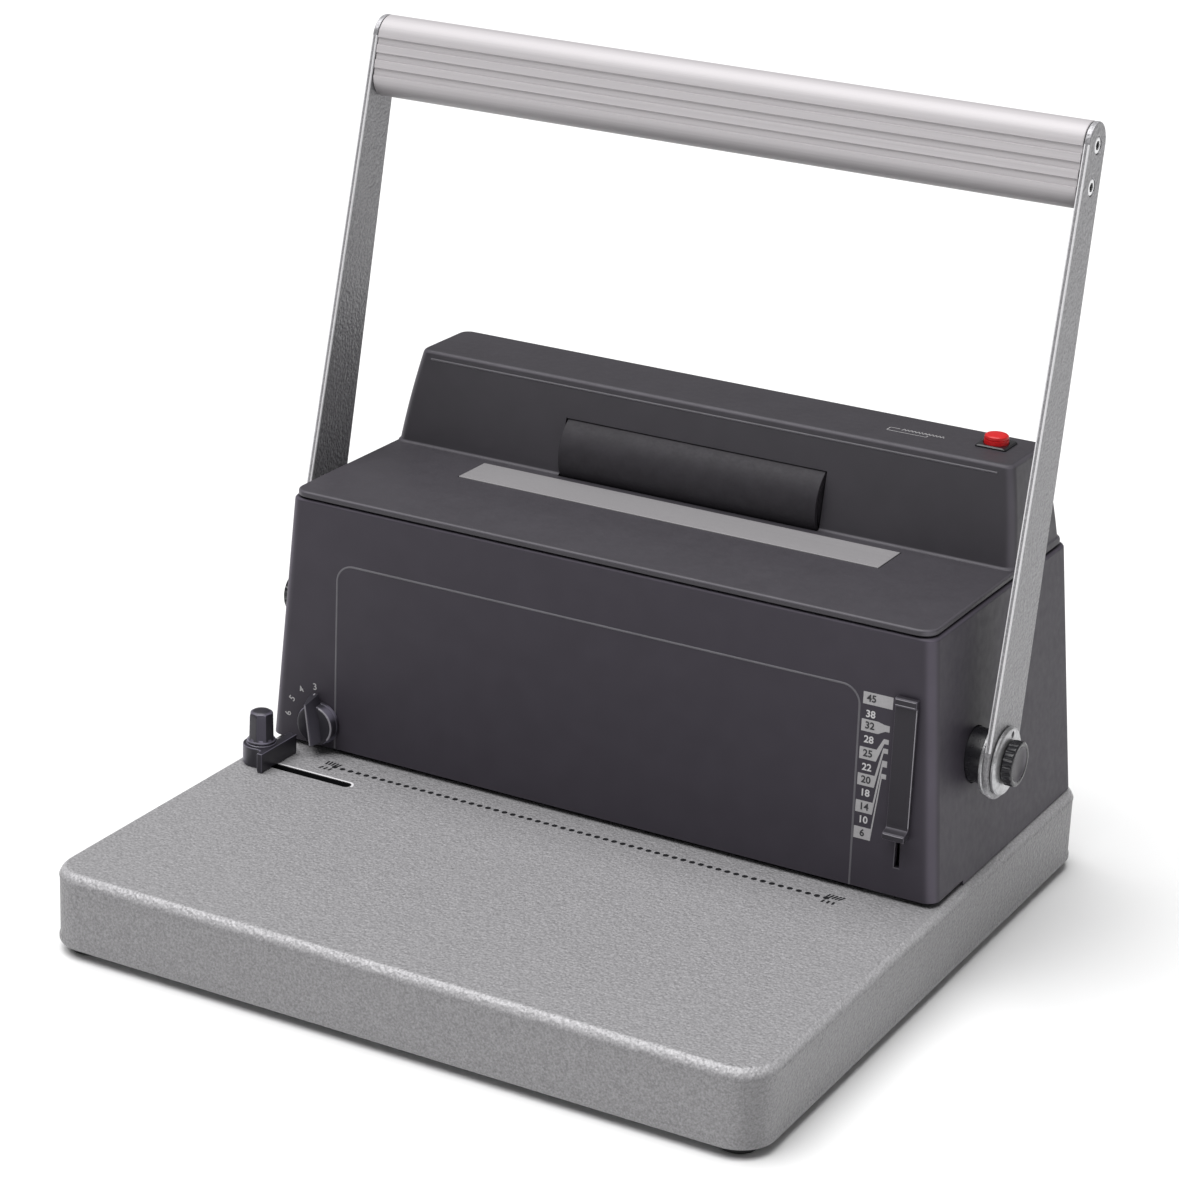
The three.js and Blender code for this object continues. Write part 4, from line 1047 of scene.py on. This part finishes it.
# ---------- controls ----------
def margin_knob():
    m = MARGIN
    centre = (m["x"], 0, m["z"])
    skirt, disc, face = m["skirt"], m["disc"], m["face"]
    body = turned("margin_dial", [
        (0, 3.2), (skirt, 3.2), (skirt, 1.9), (skirt - 0.3, 1.3), (skirt - 0.8, 1.0),
        (disc + 0.1, 0.9), (disc, 0.3), (disc - 0.3, face + 1.2),
        (disc - 0.8, face + 0.4), (disc - 1.8, face), (0, face),
    ], centre, "Y", 72)
    sections = []
    for y, half, tail, tip in ((1.5, 4.4, -8.4, 16.9), (-1.0, 4.4, -8.6, 16.3), (-4.6, 3.1, -9.2, 15.2),
                               (m["crest"] + 0.5, 1.1, -9.8, 14.0), (m["crest"], 0.7, -9.9, 13.7)):
        sections.append([(-half, y, tail), (half, y, tail), (half, y, 4), (half * 0.5, y, tip),
                         (-half * 0.5, y, tip), (-half, y, 4)])
    fin = skin("fin", sections)
    turn = Matrix.Translation(Vector(centre) * MM) @ Matrix.Rotation(math.radians(-m["turn"]), 4, "Y")
    fin.data.transform(turn)
    join(body, fin)
    cut(body, rod("bore", 3.3, -2, 10, centre, "Y", 32))
    soften(body, 0.3, 2, 35)
    place(body, KNOB_SATIN, "margin_dial", "black_plastic", "margin_knob")
    # Painted highlight along the fin's crest.
    line = [(m["crest"] - 0.05, -9.7), (m["crest"] - 0.05, 13.5), (1.4, 17.0)]
    half = 0.42
    rings = [[(-half, y, z), (half, y, z), (half, y + 0.7, z - 0.5), (-half, y + 0.7, z - 0.5)]
             for y, z in line]
    crest = skin("fin_crest_highlight", rings)
    crest.data.transform(turn)
    place(crest, RIM_HIGHLIGHT, "margin_dial", "black_plastic")
    # Painted highlight: a light arc on the dial's rim.
    arc_line = skin("dial_rim_highlight", [
        [Vector(centre) + Vector((r * math.cos(a), y, r * math.sin(a))) for r, y in
         ((disc - 1.5, face + 0.1), (disc - 0.9, face - 0.06), (disc - 0.5, face + 0.3))]
        for a in (math.radians(75 - 6 * i) for i in range(20))
    ])
    place(arc_line, RIM_HIGHLIGHT, "margin_dial", "black_plastic")


def side_stop():
    x, y = STOP["x"], STOP["y"]
    bottom, top = TABLE + 0.3, STOP["top"]
    outline = [(-175, -41.8), (-175, -7.3), (-180.5, -7.3)]
    outline += arc(x, y, STOP["boss"], 62, 288, 24)
    outline += [(-178.9, -37.4), (-178.3, -41.8)]
    body = soften(slab("side_stop_body", outline, bottom, top), 0.7, 3, 30)
    stem = block("stem", x - 1.1, x + 1.1, y - 1.1, y + 1.1, 35.3, bottom + 1)
    collar = turned("collar", [
        (0, top - 0.5), (8.2, top - 0.5), (8.2, top + 0.3), (7.6, top + 0.7), (0, top + 0.7),
    ], (x, y, 0), "Z", 48)
    join(body, stem, collar)
    place(body, KNOB_SATIN, "side_stop", "black_plastic", "side_stop_block")

    base, crown, flutes = top + 1.0, STOP["crown"], STOP["flutes"]

    def fluted(angle, along):
        near = abs((angle * flutes / (2 * math.pi) + 0.3) % 1 - 0.5) * 2
        side = unit((along - base - 1.6) / 0.8) * unit((crown - 0.5 - along) / 1.6)
        facet = math.cos(math.pi / flutes) / math.cos((1 - near) * math.pi / flutes)
        return 1 + (facet - 1) * side * 0.9

    knob = turned("side_stop_grip", [
        (2.4, top + 8), (2.4, base), (7.5, base), (7.8, base + 0.3), (7.8, base + 0.9), (7.5, base + 1.3),
        (7.1, base + 1.5), (7.05, base + 2.4), (6.95, base + 6), (6.85, base + 10),
        (6.75, crown - 3.4), (6.6, crown - 2.2), (6.0, crown - 1.2), (4.8, crown - 0.5),
        (3.4, crown - 0.12), (1.8, crown), (0, crown),
    ], (x, y, 0), "Z", 144, fluted)
    place(knob, KNOB_SATIN, "side_stop_knob", "black_plastic", "side_stop_knob", angle=24)


def gauge():
    g = GAUGE
    profile = [
        (3.2, 82.0), (-3.5, 82.0), (-4.0, 82.6), (-4.0, 85.2), (-3.5, 85.9), (-0.6, 86.6),
        (0.5, 87.4), (1.0, 88.8), (1.0, 152.4), (0.4, 153.3),
        (-0.4, 153.6), (-0.4, 156.7), (0.2, 157.5), (3.2, 157.5),
    ]
    body = skin("gauge_slider", [[(x, y, z) for y, z in profile] for x in (g["left"], g["right"])])
    soften(body, 0.45, 3, 40)
    stem = block("stem", g["slot_x"] - 1.1, g["slot_x"] + 1.1, 2.2, 9.4, 98, 106)
    nut = block("nut", g["slot_x"] - 4.5, g["slot_x"] + 4.5, 7.2, 9.4, 98, 106)
    place(join(body, stem, nut), None, "coil_gauge", "slate_plastic", "coil_gauge")
    edge = [block("edge", g["right"] - 0.45, g["right"] - 0.1, 0.93, 1.4, 88.5, 152.6),
            block("edge", g["left"] + 0.6, g["right"] - 0.6, -4.04, -3.9, 85.0, 85.35),
            block("edge", g["left"] + 0.6, g["right"] - 0.6, -0.45, -0.3, 153.75, 154.1),
            block("edge", g["left"] + 0.6, g["right"] - 0.6, -0.45, -0.3, 156.6, 156.9)]
    place(together("gauge_highlights", edge), RIM_HIGHLIGHT, "coil_gauge", "slate_plastic")


def drawer():
    d = DRAWER
    tray = block("drawer_tray", d["left"], d["right"], d["front"], d["rear"], d["bottom"], d["top"])
    hollow = block("hollow", d["left"] + 3, d["right"] - 2, d["front"] + 2, d["rear"] - 2, d["bottom"] + 2, 60)
    soften(hollow, 2, 4)
    middle = (d["front"] + d["rear"]) / 2
    notch = slab("notch", arc(middle, d["top"], 11, 180, 360, 24), -204, -196)
    notch.data.transform(Matrix(((0, 0, 1, 0), (1, 0, 0, 0), (0, 1, 0, 0), (0, 0, 0, 1))))
    cut(tray, hollow, notch)
    soften(tray, 0.5, 2)
    place(tray, KNOB_SATIN, "chip_drawer", "black_plastic", "chip_drawer")


def bottom_screws():
    profile = [(0, 5.75), (1.6, 5.75), (1.6, 5.3), (3.0, 5.3), (3.6, 5.6), (3.7, 6.05), (0, 6.05)]
    screws = [turned("screw", profile, (x, y, 0), "Z", 24) for x in (-170, 2, 174) for y in (-165, 0, 165)]
    place(together("bottom_screws", screws), None, "frame", "steel")


def carried_over():
    """Every CAD node that still shows gets the material of its slot."""
    slots = {part["node"]: part["material_slot"] for part in frame["record"]["subparts"]}
    for name, node in frame["nodes"].items():
        if node.hide_render:
            continue
        node.data.materials.clear()
        node.data.materials.append(MATERIALS[slots[name]])


# ---------- stage ----------
def stage():
    size = 12000
    corners = [(-size, -size), (size, -size), (size, size), (-size, size)]
    floor = make("studio_floor", level(corners, -0.3), [(0, 1, 2, 3)])
    paper = Surface("studio_paper", (0.94, 0.94, 0.94), 0.9, specular=0.1)
    paper.tint(paper.noise(2), 0.995, 1.005)
    floor.data.materials.append(paper.material)

    world = bpy.data.worlds.new("studio")
    world.use_nodes = True
    world.node_tree.nodes["Background"].inputs["Color"].default_value = (1, 1, 1, 1)
    world.node_tree.nodes["Background"].inputs["Strength"].default_value = 0.2
    bpy.context.scene.world = world

    light = bpy.data.lights.new("overhead", "SUN")
    light.energy = 3.5
    light.angle = math.radians(60)
    lamp = link("overhead", light)
    lamp.rotation_euler = Vector((0.17, 0.17, -0.97)).to_track_quat("-Z", "Y").to_euler()


def camera():
    lens = bpy.data.cameras.new("camera")
    lens.lens = CAMERA["lens"]
    lens.sensor_width = 36
    lens.clip_end = 50
    eye = link("camera", lens)
    place_at, target = Vector(CAMERA["place"]), Vector(CAMERA["looks_at"])
    eye.location = place_at * MM
    facing = (target - place_at).to_track_quat("-Z", "Y")
    eye.rotation_euler = (facing.to_matrix() @ Matrix.Rotation(math.radians(CAMERA["roll"]), 3, "Z")).to_euler()
    bpy.context.scene.camera = eye


bpy.context.scene.view_settings.view_transform = "Standard"
camera()
stage()
base_tray()
feet()
table_marks()
housing()
rear_panel()
power_inlet()
front_outline()
size_scale()
margin_digits()
top_cover()
strip()
roller()
button()
pictogram()
arm()
grip_screws()
grip()
hub()
clamp_knobs()
margin_knob()
side_stop()
gauge()
drawer()
bottom_screws()
carried_over()
